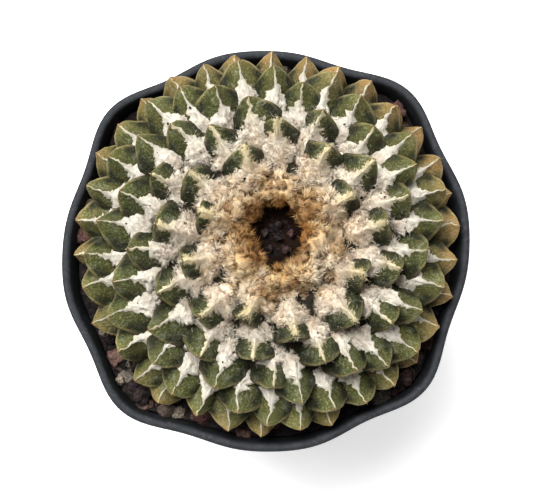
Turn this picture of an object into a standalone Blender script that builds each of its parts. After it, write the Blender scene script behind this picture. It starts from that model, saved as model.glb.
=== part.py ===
"""A living rock cactus grown in a soft square nursery pot.

Units are metres, +Z is up. The origin is the middle of the pot's flat underside.
The plant is a squat stem on a turnip-like root. Its tubercles, the pyramid-shaped
bumps that stand in for leaves, follow one spiral: each is turned by the same angle
from the one before it, and lies further down the dome. White wool fills each
tubercle's furrow and the axil behind it.
"""

import math
import random

import bmesh
import bpy
from mathutils import Vector

MM = 0.001

# The pot
POT_HEIGHT = 90 * MM
RIM_RADIUS = 50.1 * MM      # mean outer radius of the lip
RIM_WAVES = (               # waves round the lip, how far each pushes out, angle of a crest
    (2, 0.62 * MM, 31),     # the soft pot is squeezed a little oval
    (4, 0.91 * MM, 45),     # its corners stand out
    (8, 1.07 * MM, 4),      # its sides bow between the corners
    (12, 0.44 * MM, 18),    # and the lip ripples
)
BASE_HALF = 35 * MM         # half the base's width across the flats
WALL = 1.2 * MM
FLOOR = 1.6 * MM
LIP_WIDTH = 2.0 * MM
BAND_HEIGHT = 9 * MM        # stiffened band below the lip
BAND_STEP = 0.9 * MM
BASE_SQUARENESS = 5.0
BASE_ROUNDING = 2.2 * MM    # at the edge between the underside and the wall
POT_SEGMENTS = 48
DRAIN_HOLE_RADIUS = 4 * MM
DRAIN_HOLE_REACH = 0.66     # along the base's half diagonal

# The soil
GAP = 0.3 * MM              # between any two touching pieces
SOIL_TOP = 82 * MM          # at the plant's neck
SOIL_BANK = 1.8 * MM        # how much higher it lies against the pot's wall
STONE_COUNT = 46
STONE_SIZES = (1.3 * MM, 2.8 * MM)
STONE_BELT = 7 * MM         # the stones lie within this distance of the wall

# The plant
ROOT_CENTRE = Vector((0.6 * MM, 1.6 * MM))
ROOT_RADIUS = 19 * MM
ROOT_LENGTH = 38 * MM       # below the soil's top
CROWN_CENTRE = Vector((2.9 * MM, 1.7 * MM))
SKIRT_CENTRE = Vector((0.0 * MM, 1.4 * MM))
FIRST_TUBERCLE = 6
LAST_TUBERCLE = 103
SPIRAL_START = 270.85       # degrees, counted from +X
SPIRAL_TURN = -137.67       # degrees from one tubercle to the next
DOME_RADIUS = 48.0 * MM
DOME_RISE = 22 * MM
FIRST_DOWN = 13.2           # degrees down the dome at the spiral's start
DOWN_STEP = 2.551           # degrees added by the first step of the spiral
DOWN_POWER = 0.743          # under 1: later steps add less
SKIRT_DOWN = 90             # degrees, where the spiral runs out
CROWN_LEAN = 60             # degrees above level that the newest tubercles point
LEAN_FALL = 0.62            # of a degree lost for each degree down the dome
SKIRT_HEIGHT = POT_HEIGHT + 3.2 * MM    # the lowest tips, just clear of the lip
TUBERCLE_LENGTH = 11.0 * MM
YOUNG_LENGTH = 8.4 * MM
GROWN_AT = 24               # tubercles above this one are still growing
TUBERCLE_HALF_WIDTH = 5.0 * MM
SHOULDER_BACK = 8.0 * MM    # behind the tip, where a tubercle reaches its full width
TUBERCLE_DEPTH = 8.5 * MM
KEEL_CURVE = 5.2 * MM       # the keel falls most of its depth over this distance
EDGE_DROP = 0.68            # of the depth, from the crest down to the flank's edge
ROOT_REACH = 5.0 * MM       # how far a tubercle runs on inside the stem
WOOL_LIFT = 1.2 * MM
WOOLLY_UP_TO = 40           # tubercles younger than this carry more wool
STEM_SEGMENTS = 32
STEM_FOOT_RADIUS = 30 * MM

# The crown's hollow
PIT_RADIUS = 6.6 * MM
PIT_FLOOR = 97 * MM
CROWN_EDGE = 102.5 * MM
CROWN_WOOL_WIDTH = 5.6 * MM
CROWN_WOOL_HEIGHT = 4.8 * MM
WOOL_MOUND_HEIGHT = 106.2 * MM
CROWN_STONES = 6


def clear_scene():
    for found in list(bpy.data.objects):
        bpy.data.objects.remove(found, do_unlink=True)


def finish(name, colour, roughness):
    """A plain finish with one colour and roughness."""
    material = bpy.data.materials.new(name)
    material.use_nodes = True
    shader = material.node_tree.nodes["Principled BSDF"]
    shader.inputs["Base Color"].default_value = (*colour, 1)
    shader.inputs["Roughness"].default_value = roughness
    shader.inputs["Metallic"].default_value = 0
    return material


def object_of(shape, name, *materials):
    """Turns a bmesh into an object of the scene."""
    bmesh.ops.recalc_face_normals(shape, faces=shape.faces)
    mesh = bpy.data.meshes.new(name)
    shape.to_mesh(mesh)
    shape.free()
    for material in materials:
        mesh.materials.append(material)
    made = bpy.data.objects.new(name, mesh)
    bpy.context.scene.collection.objects.link(made)
    return made


def loft(shape, rings):
    """Closed skin over a list of rings, each end closed by a fan or by its single point.

    Walls that turn from square to round aren't flat between rings, so every quad is
    split the same way, from its lower corner to the next upper one: nested walls then
    stay parallel.
    """
    rows = [[shape.verts.new(point) for point in ring] for ring in rings]
    for low, high in zip(rows, rows[1:]):
        count = max(len(low), len(high))
        for i in range(count):
            j = (i + 1) % count
            if len(low) == 1:
                shape.faces.new((low[0], high[j], high[i]))
            elif len(high) == 1:
                shape.faces.new((low[i], low[j], high[0]))
            elif low[0].co.z > high[0].co.z:
                shape.faces.new((low[i], low[j], high[i]))
                shape.faces.new((low[j], high[j], high[i]))
            else:
                shape.faces.new((low[i], low[j], high[j]))
                shape.faces.new((low[i], high[j], high[i]))
    for row in (rows[0], rows[-1]):
        if len(row) > 1:
            shape.faces.new(row)


def shade_smooth(made, angle):
    made.data.shade_smooth()
    made.data.set_sharp_from_angle(angle=math.radians(angle))


# The pot's walls follow one outline that turns from a rounded square into the soft rim.
def pot_radius(angle, height, inset=0.0):
    share = min(max(height / POT_HEIGHT, 0), 1)
    square = BASE_HALF / (
        abs(math.cos(angle)) ** BASE_SQUARENESS + abs(math.sin(angle)) ** BASE_SQUARENESS
    ) ** (1 / BASE_SQUARENESS)
    soft = RIM_RADIUS + sum(
        push * math.cos(waves * (angle - math.radians(crest))) for waves, push, crest in RIM_WAVES
    )
    return square + (soft - square) * share - inset


def pot_ring(height, inset=0.0):
    points = []
    for i in range(POT_SEGMENTS):
        angle = 2 * math.pi * i / POT_SEGMENTS
        reach = pot_radius(angle, height, inset)
        points.append(Vector((reach * math.cos(angle), reach * math.sin(angle), height)))
    return points


def make_pot():
    band_low = POT_HEIGHT - BAND_HEIGHT
    shape = bmesh.new()
    loft(shape, [
        pot_ring(0, BASE_ROUNDING),
        pot_ring(BASE_ROUNDING * 0.3, BASE_ROUNDING * 0.3),
        pot_ring(BASE_ROUNDING, BAND_STEP),
        pot_ring(band_low, BAND_STEP),
        pot_ring(band_low + 0.8 * MM, 0),
        pot_ring(POT_HEIGHT - 0.7 * MM, 0),
        pot_ring(POT_HEIGHT, 0.6 * MM),
        pot_ring(POT_HEIGHT, LIP_WIDTH - 0.5 * MM),
        pot_ring(POT_HEIGHT - 0.8 * MM, LIP_WIDTH),
        pot_ring(band_low + 2 * MM, LIP_WIDTH + 0.2 * MM),
        pot_ring(band_low - 1 * MM, BAND_STEP + WALL),
        pot_ring(FLOOR + 1.5 * MM, BAND_STEP + WALL),
        pot_ring(FLOOR, BASE_ROUNDING + WALL),
    ])
    pot = object_of(shape, "pot", finish("black nursery plastic", (0.045, 0.048, 0.05), 0.45))
    cut_drain_holes(pot)
    shade_smooth(pot, 32)


def cut_drain_holes(pot):
    """Four round holes through the floor, one toward each corner."""
    shape = bmesh.new()
    for i in range(4):
        angle = math.radians(45 + 90 * i)
        reach = DRAIN_HOLE_REACH * pot_radius(angle, 0)
        ring = [
            Vector((
                reach * math.cos(angle) + DRAIN_HOLE_RADIUS * math.cos(turn),
                reach * math.sin(angle) + DRAIN_HOLE_RADIUS * math.sin(turn),
                0,
            ))
            for turn in (2 * math.pi * k / 14 for k in range(14))
        ]
        loft(shape, [
            [point + Vector((0, 0, -FLOOR)) for point in ring],
            [point + Vector((0, 0, 2 * FLOOR)) for point in ring],
        ])
    cutter = object_of(shape, "drain_cutter")
    cutter.hide_render = True
    cutter.display_type = "WIRE"
    cut = pot.modifiers.new("drain holes", "BOOLEAN")
    cut.operation = "DIFFERENCE"
    cut.object = cutter


# One rule gives every tubercle its place. Index 0 would be the newest, at the crown.
def down_angle(index):
    """How far down the dome a tubercle's tip lies: 0 at the top, 90 degrees at the skirt."""
    return math.radians(min(FIRST_DOWN + DOWN_STEP * index ** DOWN_POWER, SKIRT_DOWN))


def centre_at(index):
    """The growth axis leans a little, so the crown lies off the skirt's middle."""
    return CROWN_CENTRE.lerp(SKIRT_CENTRE, min(index / 100, 1))


def lean_at(index):
    """How steeply the tubercle points up: upright at the crown, level at the skirt."""
    return math.radians(CROWN_LEAN) - LEAN_FALL * down_angle(index)


def tubercle_frame(index):
    """The tip, and the three directions of a tubercle: outward along it, sideways, up."""
    turn = math.radians(SPIRAL_START + SPIRAL_TURN * index)
    outward = Vector((math.cos(turn), math.sin(turn), 0))
    side = Vector((-outward.y, outward.x, 0))
    lean = lean_at(index)
    along = outward * math.cos(lean) + Vector((0, 0, math.sin(lean)))
    above = side.cross(along) * -1
    down = down_angle(index)
    tip = centre_at(index).to_3d() + outward * DOME_RADIUS * math.sin(down)
    tip.z = SKIRT_HEIGHT + DOME_RISE * math.cos(down)
    return tip, along, side, above


def length_of(index):
    """Crest length from tip to axil: the newest tubercles are shorter."""
    return YOUNG_LENGTH + (TUBERCLE_LENGTH - YOUNG_LENGTH) * min(index / GROWN_AT, 1)


def half_width_at(back):
    """Half the width of a tubercle at this distance behind its tip."""
    short = 1 - min(back / SHOULDER_BACK, 1)
    return TUBERCLE_HALF_WIDTH * (1 - short ** 2)


def depth_at(back):
    """How far the keel lies under the crest at this distance behind the tip."""
    return TUBERCLE_DEPTH * (1 - math.exp(-back / KEEL_CURVE))


def place(frame, back, across, lift):
    tip, along, side, above = frame
    return tip - along * back + side * across + above * lift


def add_tubercle(shape, index):
    """A pyramid: two flat flanks like a roof, and a keel. Wool wells up along its crest."""
    frame = tubercle_frame(index)
    length = length_of(index)
    youth = 1 - min(index / WOOLLY_UP_TO, 1)
    rings = [[frame[0]]]
    for share, arm, lift in (
        (0.10, 0.25 * MM, 0.1),
        (0.28, 0.45 * MM, 0.25),
        (0.56, (0.9 + 0.9 * youth) * MM, 0.5),
        (1.00, (2.6 + 1.6 * youth) * MM, 1.0),
    ):
        back = share * length
        wide, deep = half_width_at(back), depth_at(back)
        edge = EDGE_DROP * deep
        rings.append([
            place(frame, back, 0, lift * WOOL_LIFT),
            place(frame, back, arm, -edge * arm / wide),
            place(frame, back, wide, -edge),
            place(frame, back, 0, -deep),
            place(frame, back, -wide, -edge),
            place(frame, back, -arm, -edge * arm / wide),
        ])
    rings.append([place(frame, length + ROOT_REACH, 0, -0.75 * TUBERCLE_DEPTH)])
    loft(shape, rings)
    colour_crest(shape, frame, length)


def colour_crest(shape, frame, length):
    """Gives the wool's slot to the faces that meet along the crest."""
    tip, along, side, above = frame
    for face in shape.faces:
        across = [(vert.co - tip).dot(side) for vert in face.verts]
        high = max((vert.co - tip).dot(above) for vert in face.verts)
        if min(abs(a) for a in across) < 0.01 * MM and high > 0.1 * MM:
            face.material_index = 1


def stem_ring(index, drop):
    """A ring of the stem, this far under the axils of the tubercles of this index."""
    lean, down = lean_at(index), down_angle(index)
    length = length_of(index)
    reach = DOME_RADIUS * math.sin(down) - length * math.cos(lean)
    height = SKIRT_HEIGHT + DOME_RISE * math.cos(down) - length * math.sin(lean) - drop
    return round_ring(centre_at(index), reach, height)


def round_ring(centre, reach, height, segments=STEM_SEGMENTS, lumps=0.0):
    """A level ring of points; with lumps, its height waves round it by that much."""
    ring = []
    for i in range(segments):
        turn = 2 * math.pi * i / segments
        wave = lumps * (math.sin(5 * turn + 1) + 0.7 * math.sin(9 * turn))
        ring.append(Vector((
            centre.x + reach * math.cos(turn),
            centre.y + reach * math.sin(turn),
            height + wave,
        )))
    return ring


def root_profile():
    """Radius and height of the taproot above its tip, up to the soil's top."""
    steps = 4
    for i in range(1, steps + 1):
        share = i / steps
        yield ROOT_RADIUS * share ** 0.7, SOIL_TOP - ROOT_LENGTH * (1 - share)


def add_stem(shape):
    rings = [[Vector((*ROOT_CENTRE, SOIL_TOP - ROOT_LENGTH - 1 * MM))]]
    for reach, height in root_profile():
        rings.append(round_ring(ROOT_CENTRE, reach, height))
    rings.append(round_ring(ROOT_CENTRE, ROOT_RADIUS, SOIL_TOP + 1.5 * MM))
    rings.append(round_ring(SKIRT_CENTRE, STEM_FOOT_RADIUS, SOIL_TOP + 3 * MM))
    for index in (90, 58, 36, 20, 9):
        rings.append(stem_ring(index, 2.4 * MM))
    pit = CROWN_CENTRE
    shelf = PIT_RADIUS + CROWN_WOOL_WIDTH
    rings.append(round_ring(pit, shelf + 3.4 * MM, WOOL_MOUND_HEIGHT - 1.5 * MM))
    rings.append(round_ring(pit, shelf + 1.8 * MM, WOOL_MOUND_HEIGHT, lumps=0.5 * MM))
    rings.append(round_ring(pit, shelf + 0.5 * MM, WOOL_MOUND_HEIGHT - 0.8 * MM, lumps=0.4 * MM))
    rings.append(round_ring(pit, shelf, CROWN_EDGE))
    rings.append(round_ring(pit, PIT_RADIUS, CROWN_EDGE - 0.5 * MM))
    rings.append(round_ring(pit, PIT_RADIUS - 1.0 * MM, PIT_FLOOR + 1 * MM))
    rings.append([Vector((*pit, PIT_FLOOR))])
    loft(shape, rings)
    for face in shape.faces:
        if face.calc_center_median().z > CROWN_EDGE:
            face.material_index = 1


def keep_largest_body(made):
    """Drops loose scraps and the skins of sealed hollows that the union leaves."""
    shape = bmesh.new()
    shape.from_mesh(made.data)
    seen, groups = set(), []
    for start in shape.faces:
        if start in seen:
            continue
        group, queue = [], [start]
        seen.add(start)
        while queue:
            face = queue.pop()
            group.append(face)
            for edge in face.edges:
                for other in edge.link_faces:
                    if other not in seen:
                        seen.add(other)
                        queue.append(other)
        groups.append(group)
    groups.sort(key=len)
    for group in groups[:-1]:
        bmesh.ops.delete(shape, geom=group, context="FACES")
    shape.to_mesh(made.data)
    shape.free()


def unite(base, repeats):
    """One union of a piece with the repeats that grow from it, applied."""
    group = bpy.data.collections.new(base.name + " repeats")
    bpy.context.scene.collection.children.link(group)
    for repeat in repeats:
        bpy.context.scene.collection.objects.unlink(repeat)
        group.objects.link(repeat)
    union = base.modifiers.new("union", "BOOLEAN")
    union.operation = "UNION"
    union.operand_type = "COLLECTION"
    union.collection = group
    union.solver = "EXACT"
    bpy.context.view_layer.objects.active = base
    bpy.ops.object.modifier_apply(modifier=union.name)
    for repeat in list(group.objects):
        bpy.data.objects.remove(repeat, do_unlink=True)
    bpy.data.collections.remove(group)
    keep_largest_body(base)


def make_cactus():
    skin = finish("olive cactus skin", (0.115, 0.17, 0.06), 0.6)
    wool = finish("white axil wool", (0.76, 0.72, 0.64), 0.95)
    shape = bmesh.new()
    add_stem(shape)
    cactus = object_of(shape, "cactus", skin, wool)
    repeats = []
    for index in range(FIRST_TUBERCLE, LAST_TUBERCLE + 1):
        shape = bmesh.new()
        add_tubercle(shape, index)
        repeats.append(object_of(shape, f"tubercle_{index}", skin, wool))
    unite(cactus, repeats)
    shade_smooth(cactus, 40)


def hollow_radius(turn):
    """The crown's hollow is a little longer than wide, and the tufts round it make lobes."""
    return PIT_RADIUS * (1 + 0.11 * math.cos(2 * turn - 3.5) + 0.06 * math.sin(5 * turn))


def make_crown_wool():
    """Wool of the crown: a lumpy ring around the sunken growing point."""
    around, across = 30, 7
    shape = bmesh.new()
    rings = []
    for i in range(around):
        turn = 2 * math.pi * i / around
        outward = Vector((math.cos(turn), math.sin(turn), 0))
        inner = hollow_radius(turn) - 0.4 * MM
        half = (PIT_RADIUS + CROWN_WOOL_WIDTH - GAP - inner) / 2
        swell = 1 + 0.12 * math.sin(6 * turn + 2) + 0.08 * math.sin(11 * turn)
        middle = CROWN_CENTRE.to_3d() + outward * (inner + half)
        middle.z = CROWN_EDGE + GAP + CROWN_WOOL_HEIGHT / 2
        ring = []
        for k in range(across):
            bend = 2 * math.pi * (k + 0.25) / across
            rise = CROWN_WOOL_HEIGHT / 2 * math.sin(bend)
            if rise > 0:
                rise *= swell
            ring.append(middle + outward * half * math.cos(bend) + Vector((0, 0, rise)))
        rings.append([shape.verts.new(point) for point in ring])
    for low, high in zip(rings, rings[1:] + rings[:1]):
        for k in range(across):
            n = (k + 1) % across
            shape.faces.new((low[k], low[n], high[n], high[k]))
    made = object_of(shape, "crown_wool", finish("amber crown wool", (0.52, 0.36, 0.17), 0.95))
    shade_smooth(made, 60)


def add_stone(shape, centre, size, seed):
    """A rough pebble: a low icosphere with each corner pushed in or out."""
    draw = random.Random(seed)
    made = bmesh.ops.create_icosphere(shape, subdivisions=1, radius=size)["verts"]
    for vert in made:
        vert.co *= draw.uniform(0.78, 1.12)
        vert.co.z *= 0.85
        vert.co += centre


def soil_hole_rings():
    """The plain hole that the taproot stands in, from the soil's top down."""
    rings = []
    for reach, height in reversed(list(root_profile())):
        rings.append(round_ring(ROOT_CENTRE, reach + 2 * GAP, height, POT_SEGMENTS))
    bottom = SOIL_TOP - ROOT_LENGTH - 2 * MM
    rings.append(round_ring(ROOT_CENTRE, 3 * MM, bottom, POT_SEGMENTS))
    rings.append([Vector((*ROOT_CENTRE, bottom - 0.5 * MM))])
    return rings


def make_soil():
    inside = BAND_STEP + WALL + GAP
    grit = finish("dark grit soil", (0.05, 0.035, 0.035), 0.9)
    shape = bmesh.new()
    rings = [
        pot_ring(FLOOR + GAP, BASE_ROUNDING + WALL + GAP),
        pot_ring(FLOOR + 1.8 * MM, inside),
        pot_ring(POT_HEIGHT - BAND_HEIGHT - 1.4 * MM, inside),
        pot_ring(SOIL_TOP + SOIL_BANK, LIP_WIDTH + 2 * GAP),
        pot_ring(SOIL_TOP + 0.5 * SOIL_BANK, STONE_BELT),
    ]
    loft(shape, rings + soil_hole_rings())
    soil = object_of(shape, "soil", grit)
    draw = random.Random(7)
    stones = []
    for i in range(STONE_COUNT):
        size = draw.uniform(*STONE_SIZES)
        turn = math.radians(137.5 * i)
        inward = draw.uniform(0, STONE_BELT) * (i % 3 > 0)
        reach = pot_radius(turn, SOIL_TOP, LIP_WIDTH + 3 * GAP) - 1.15 * size - inward
        height = SOIL_TOP + SOIL_BANK * (1 - 0.9 * inward / STONE_BELT) + 0.15 * size
        centre = Vector((reach * math.cos(turn), reach * math.sin(turn), height))
        shape = bmesh.new()
        add_stone(shape, centre, size, i)
        stones.append(object_of(shape, f"grit_{i}", grit))
    unite(soil, stones)
    shade_smooth(soil, 30)


def make_crown_stones():
    """Bits of grit that have rolled into the crown's hollow."""
    draw = random.Random(3)
    scoria = finish("dark scoria", (0.09, 0.05, 0.045), 0.85)
    for i in range(CROWN_STONES):
        if i == 0:
            reach, size = 0, 1.5 * MM
        else:
            reach, size = 3.3 * MM, draw.uniform(1.15, 1.45) * MM
        turn = 2 * math.pi * i / (CROWN_STONES - 1) + 0.3
        centre = CROWN_CENTRE.to_3d() + Vector((reach * math.cos(turn), reach * math.sin(turn), 0))
        centre.z = PIT_FLOOR + reach * 0.19 + size * 0.95 + GAP
        shape = bmesh.new()
        add_stone(shape, centre, size, 40 + i)
        shade_smooth(object_of(shape, f"crown_stone_{i + 1}", scoria), 30)


clear_scene()
make_pot()
make_soil()
make_cactus()
make_crown_wool()
make_crown_stones()
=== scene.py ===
# %% [markdown]
# A living rock cactus in a soft square nursery pot, seen almost from straight above.
#
# The imported solids come first. They say where everything is and how large it is, and
# nothing below moves them. Each cell after that makes one piece or one finish.

import math
import random

import bmesh
import bpy
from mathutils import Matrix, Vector, noise


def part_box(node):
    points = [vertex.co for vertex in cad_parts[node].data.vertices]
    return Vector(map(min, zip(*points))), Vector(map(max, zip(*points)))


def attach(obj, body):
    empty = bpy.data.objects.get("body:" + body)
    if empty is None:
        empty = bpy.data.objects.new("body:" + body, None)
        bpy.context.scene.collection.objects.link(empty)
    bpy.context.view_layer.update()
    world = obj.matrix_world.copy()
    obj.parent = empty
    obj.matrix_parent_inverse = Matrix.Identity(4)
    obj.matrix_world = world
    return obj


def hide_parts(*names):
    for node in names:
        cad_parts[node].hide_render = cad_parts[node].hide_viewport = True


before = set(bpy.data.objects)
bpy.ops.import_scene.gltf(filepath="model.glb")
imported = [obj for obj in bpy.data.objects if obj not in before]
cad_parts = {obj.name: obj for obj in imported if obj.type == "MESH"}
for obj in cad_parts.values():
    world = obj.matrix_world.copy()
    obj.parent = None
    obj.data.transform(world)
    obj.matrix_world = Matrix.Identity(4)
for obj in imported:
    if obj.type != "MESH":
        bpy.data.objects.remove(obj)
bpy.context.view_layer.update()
print("packed nodes:", sorted(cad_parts))

# %% [markdown]
# Most pieces here follow a rule, so they are built from node trees. Blender's trees are
# long to write out by hand, so a socket is wrapped in a small class: a sum or a product
# of two wrapped sockets adds the Math node for it, and a formula reads as a formula.

# %% Helpers for node trees
MM = 0.001


def feed(slot, value):
    """Links a field to a node's input, or sets a plain value on it."""
    if isinstance(value, Field):
        slot.id_data.links.new(value.socket, slot)
    elif isinstance(value, (int, float)) and slot.type == "VECTOR":
        slot.default_value = (value, value, value)
    else:
        slot.default_value = value


def add_node(tree, kind, inputs=None, **settings):
    """Adds a node. inputs maps a socket's name or number to a field or a value."""
    node = tree.nodes.new(kind)
    for label, value in settings.items():
        setattr(node, label, value)
    for label, value in (inputs or {}).items():
        feed(node.inputs[label], value)
    return node


class Field:
    """A socket of a node tree. Arithmetic on it adds Math nodes to the same tree."""

    def __init__(self, socket):
        self.socket = socket

    def _new(self, kind, operation, values):
        node = self.socket.id_data.nodes.new(kind)
        node.operation = operation
        for slot, value in zip(node.inputs, values):
            feed(slot, value)
        return node

    def math(self, operation, *others):
        return Field(self._new("ShaderNodeMath", operation, (self, *others)).outputs[0])

    def vector(self, operation, *others):
        node = self._new("ShaderNodeVectorMath", operation, (self, *others))
        return Field(node.outputs["Value" if operation in ("LENGTH", "DOT_PRODUCT") else "Vector"])

    def __add__(self, other):
        return self.math("ADD", other)

    def __sub__(self, other):
        return self.math("SUBTRACT", other)

    def __mul__(self, other):
        return self.math("MULTIPLY", other)

    def __truediv__(self, other):
        return self.math("DIVIDE", other)

    def __pow__(self, other):
        return self.math("POWER", other)

    __radd__ = __add__
    __rmul__ = __mul__

    def __rsub__(self, other):
        return self * -1.0 + other

    def __rtruediv__(self, other):
        return self ** -1.0 * other

    def clip(self, low, high):
        return self.math("MAXIMUM", low).math("MINIMUM", high)

    def step(self, start, end):
        """0 at start and 1 at end, with a soft rise between; start may be the larger."""
        node = self.socket.id_data.nodes.new("ShaderNodeMapRange")
        node.interpolation_type = "SMOOTHSTEP"
        low, high = min(start, end), max(start, end)
        for label, value in (("Value", self), ("From Min", low), ("From Max", high)):
            feed(node.inputs[label], value)
        risen = Field(node.outputs["Result"])
        return risen if end > start else 1.0 - risen

    def part(self, index):
        """One component of a vector."""
        node = self.socket.id_data.nodes.new("ShaderNodeSeparateXYZ")
        feed(node.inputs[0], self)
        return Field(node.outputs[index])


def combine(tree, x, y, z):
    node = add_node(tree, "ShaderNodeCombineXYZ", {0: x, 1: y, 2: z})
    return Field(node.outputs[0])


def level_distance(place, centre):
    """How far a place lies from the upright axis through a centre, in millimetres."""
    aside = place.vector("SUBTRACT", tuple(centre)).vector("MULTIPLY", (1.0, 1.0, 0.0))
    return aside.vector("LENGTH") / MM


def spaced(values):
    """Inputs by name, from keywords that have _ where the name has a space."""
    return {label.replace("_", " "): value for label, value in values.items()}


SOCKETS = {float: "NodeSocketFloat", int: "NodeSocketInt", tuple: "NodeSocketVector"}


def new_tree(name, kind, inputs, outputs):
    """A node group with named sockets. Returns it and its inputs as fields."""
    tree = bpy.data.node_groups.new(name, kind)
    for label, value in inputs.items():
        plain = type(value) in SOCKETS
        socket = tree.interface.new_socket(
            label, in_out="INPUT", socket_type=SOCKETS[type(value)] if plain else value
        )
        if plain:
            socket.default_value = value
    for label, socket_type in outputs.items():
        tree.interface.new_socket(label, in_out="OUTPUT", socket_type=socket_type)
    start = tree.nodes.new("NodeGroupInput")
    given = {label: Field(start.outputs[label]) for label in inputs}
    return tree, given


def put_out(tree, results):
    end = tree.nodes.new("NodeGroupOutput")
    for label, value in results.items():
        feed(end.inputs[label], value)


GEOMETRY = {"Geometry": "NodeSocketGeometry"}


def geometry_tree(name, inputs):
    return new_tree(name, "GeometryNodeTree", {**GEOMETRY, **inputs}, GEOMETRY)


# %% [markdown]
# A Geometry Nodes tree runs as a modifier. Its inputs are set by each socket's
# identifier, because that is how a modifier stores them. The result is then read off as
# a plain mesh and the modifier goes, so what stays in the scene is only a mesh.

# %% Helpers for meshes
def add_object(name, data):
    made = bpy.data.objects.new(name, data)
    bpy.context.scene.collection.objects.link(made)
    return made


def give(mesh, **attributes):
    """Float attributes on a mesh's points, from one value for each point."""
    for label, values in attributes.items():
        layer = mesh.attributes.new(label, "FLOAT", "POINT")
        layer.data.foreach_set("value", [float(value) for value in values])


def mesh_of(name, points, faces, **attributes):
    """A mesh from its points and faces, with any float attributes on its points."""
    mesh = bpy.data.meshes.new(name)
    mesh.from_pydata([tuple(point) for point in points], [], faces)
    give(mesh, **attributes)
    mesh.shade_smooth()
    mesh.update()
    return mesh


def from_bmesh(name, shape):
    """A mesh from a bmesh, which is then freed."""
    mesh = bpy.data.meshes.new(name)
    shape.to_mesh(mesh)
    shape.free()
    return mesh


def triangles(mesh):
    return sum(len(face.vertices) - 2 for face in mesh.polygons)


def grow(name, mesh, tree, values):
    """Runs a Geometry Nodes tree on a mesh and returns an object with the plain result."""
    host = add_object(name + "_host", mesh)
    modifier = host.modifiers.new(tree.name, "NODES")
    modifier.node_group = tree
    for item in tree.interface.items_tree:
        if item.in_out == "INPUT" and item.name in values:
            modifier[item.identifier] = values[item.name]
    graph = bpy.context.evaluated_depsgraph_get()
    result = bpy.data.meshes.new_from_object(
        host.evaluated_get(graph), preserve_all_data_layers=True, depsgraph=graph
    )
    result.name = name
    bpy.data.objects.remove(host)
    print(f"{name}: {triangles(result)} triangles")
    return add_object(name, result)


def loft(rings):
    """Faces of a closed skin over rings of equal length, with each end a single point."""
    faces, start = [], 0
    for low, high in zip(rings, rings[1:]):
        below, above = len(low), len(high)
        first, second = start, start + below
        for i in range(max(below, above)):
            j = (i + 1) % max(below, above)
            if below == 1:
                faces.append((first, second + j, second + i))
            elif above == 1:
                faces.append((first + i, first + j, second))
            else:
                faces.append((first + i, first + j, second + j, second + i))
        start += below
    return faces


def lofted(name, rings, **attributes):
    return mesh_of(name, [point for ring in rings for point in ring], loft(rings), **attributes)


def turns_of(segments):
    return [2 * math.pi * i / segments for i in range(segments)]


def around(turn, reach, height, centre=(0, 0)):
    """The point at a turn round an upright axis and at a distance from it."""
    return centre[0] + reach * math.cos(turn), centre[1] + reach * math.sin(turn), height


# %% [markdown]
# Several finishes need the same two effects: blotches of another tone, and a grain that
# catches the light. Each is a shader group that gives out one number for each point of
# the surface, so that every material can use it at its own scale.

# %% Shader groups
def shader_group(name, inputs, output):
    return new_tree(name, "ShaderNodeTree", inputs, {output: "NodeSocketFloat"})


def make_mottle():
    """Blotches: 1 inside them, 0 outside, with soft edges."""
    tree, given = shader_group(
        "Mottle", {"Place": "NodeSocketVector", "Per Metre": 200.0, "Cover": 0.5, "Softness": 0.15}, "Mask"
    )
    clouds = add_node(
        tree, "ShaderNodeTexNoise",
        {"Vector": given["Place"], "Scale": given["Per Metre"], "Detail": 4.0, "Roughness": 0.62},
    )
    high = Field(clouds.outputs["Fac"]) + (given["Cover"] - 0.5) * 0.6 - 0.5
    put_out(tree, {"Mask": (high / given["Softness"] + 0.5).clip(0.0, 1.0)})
    return tree


def make_grain():
    """Height of a rough surface: fine noise with small round pits in it."""
    tree, given = shader_group(
        "Grain", {"Place": "NodeSocketVector", "Per Metre": 2000.0, "Pits": 0.3}, "Height"
    )
    fine = add_node(
        tree, "ShaderNodeTexNoise",
        {"Vector": given["Place"], "Scale": given["Per Metre"], "Detail": 3.0, "Roughness": 0.7},
    )
    cells = add_node(
        tree, "ShaderNodeTexVoronoi", {"Vector": given["Place"], "Scale": given["Per Metre"] * 0.6}
    )
    pit = Field(cells.outputs["Distance"]).step(0.0, 0.45)
    put_out(tree, {"Height": Field(fine.outputs["Fac"]) + (pit - 1.0) * given["Pits"]})
    return tree


mottle_group, grain_group = make_mottle(), make_grain()

# %% [markdown]
# Each material starts from the same parts: Object coordinates, a Principled shader, and
# small functions that read an attribute, mix two colours or add a bump. Colours are
# written as they look on a screen, from 0 to 255, and turned into linear light here.

# %% Helpers for materials
def linear(red, green, blue):
    """A screen colour as linear light."""
    return (*(math.pow(value / 255, 2.2) for value in (red, green, blue)), 1)


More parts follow.
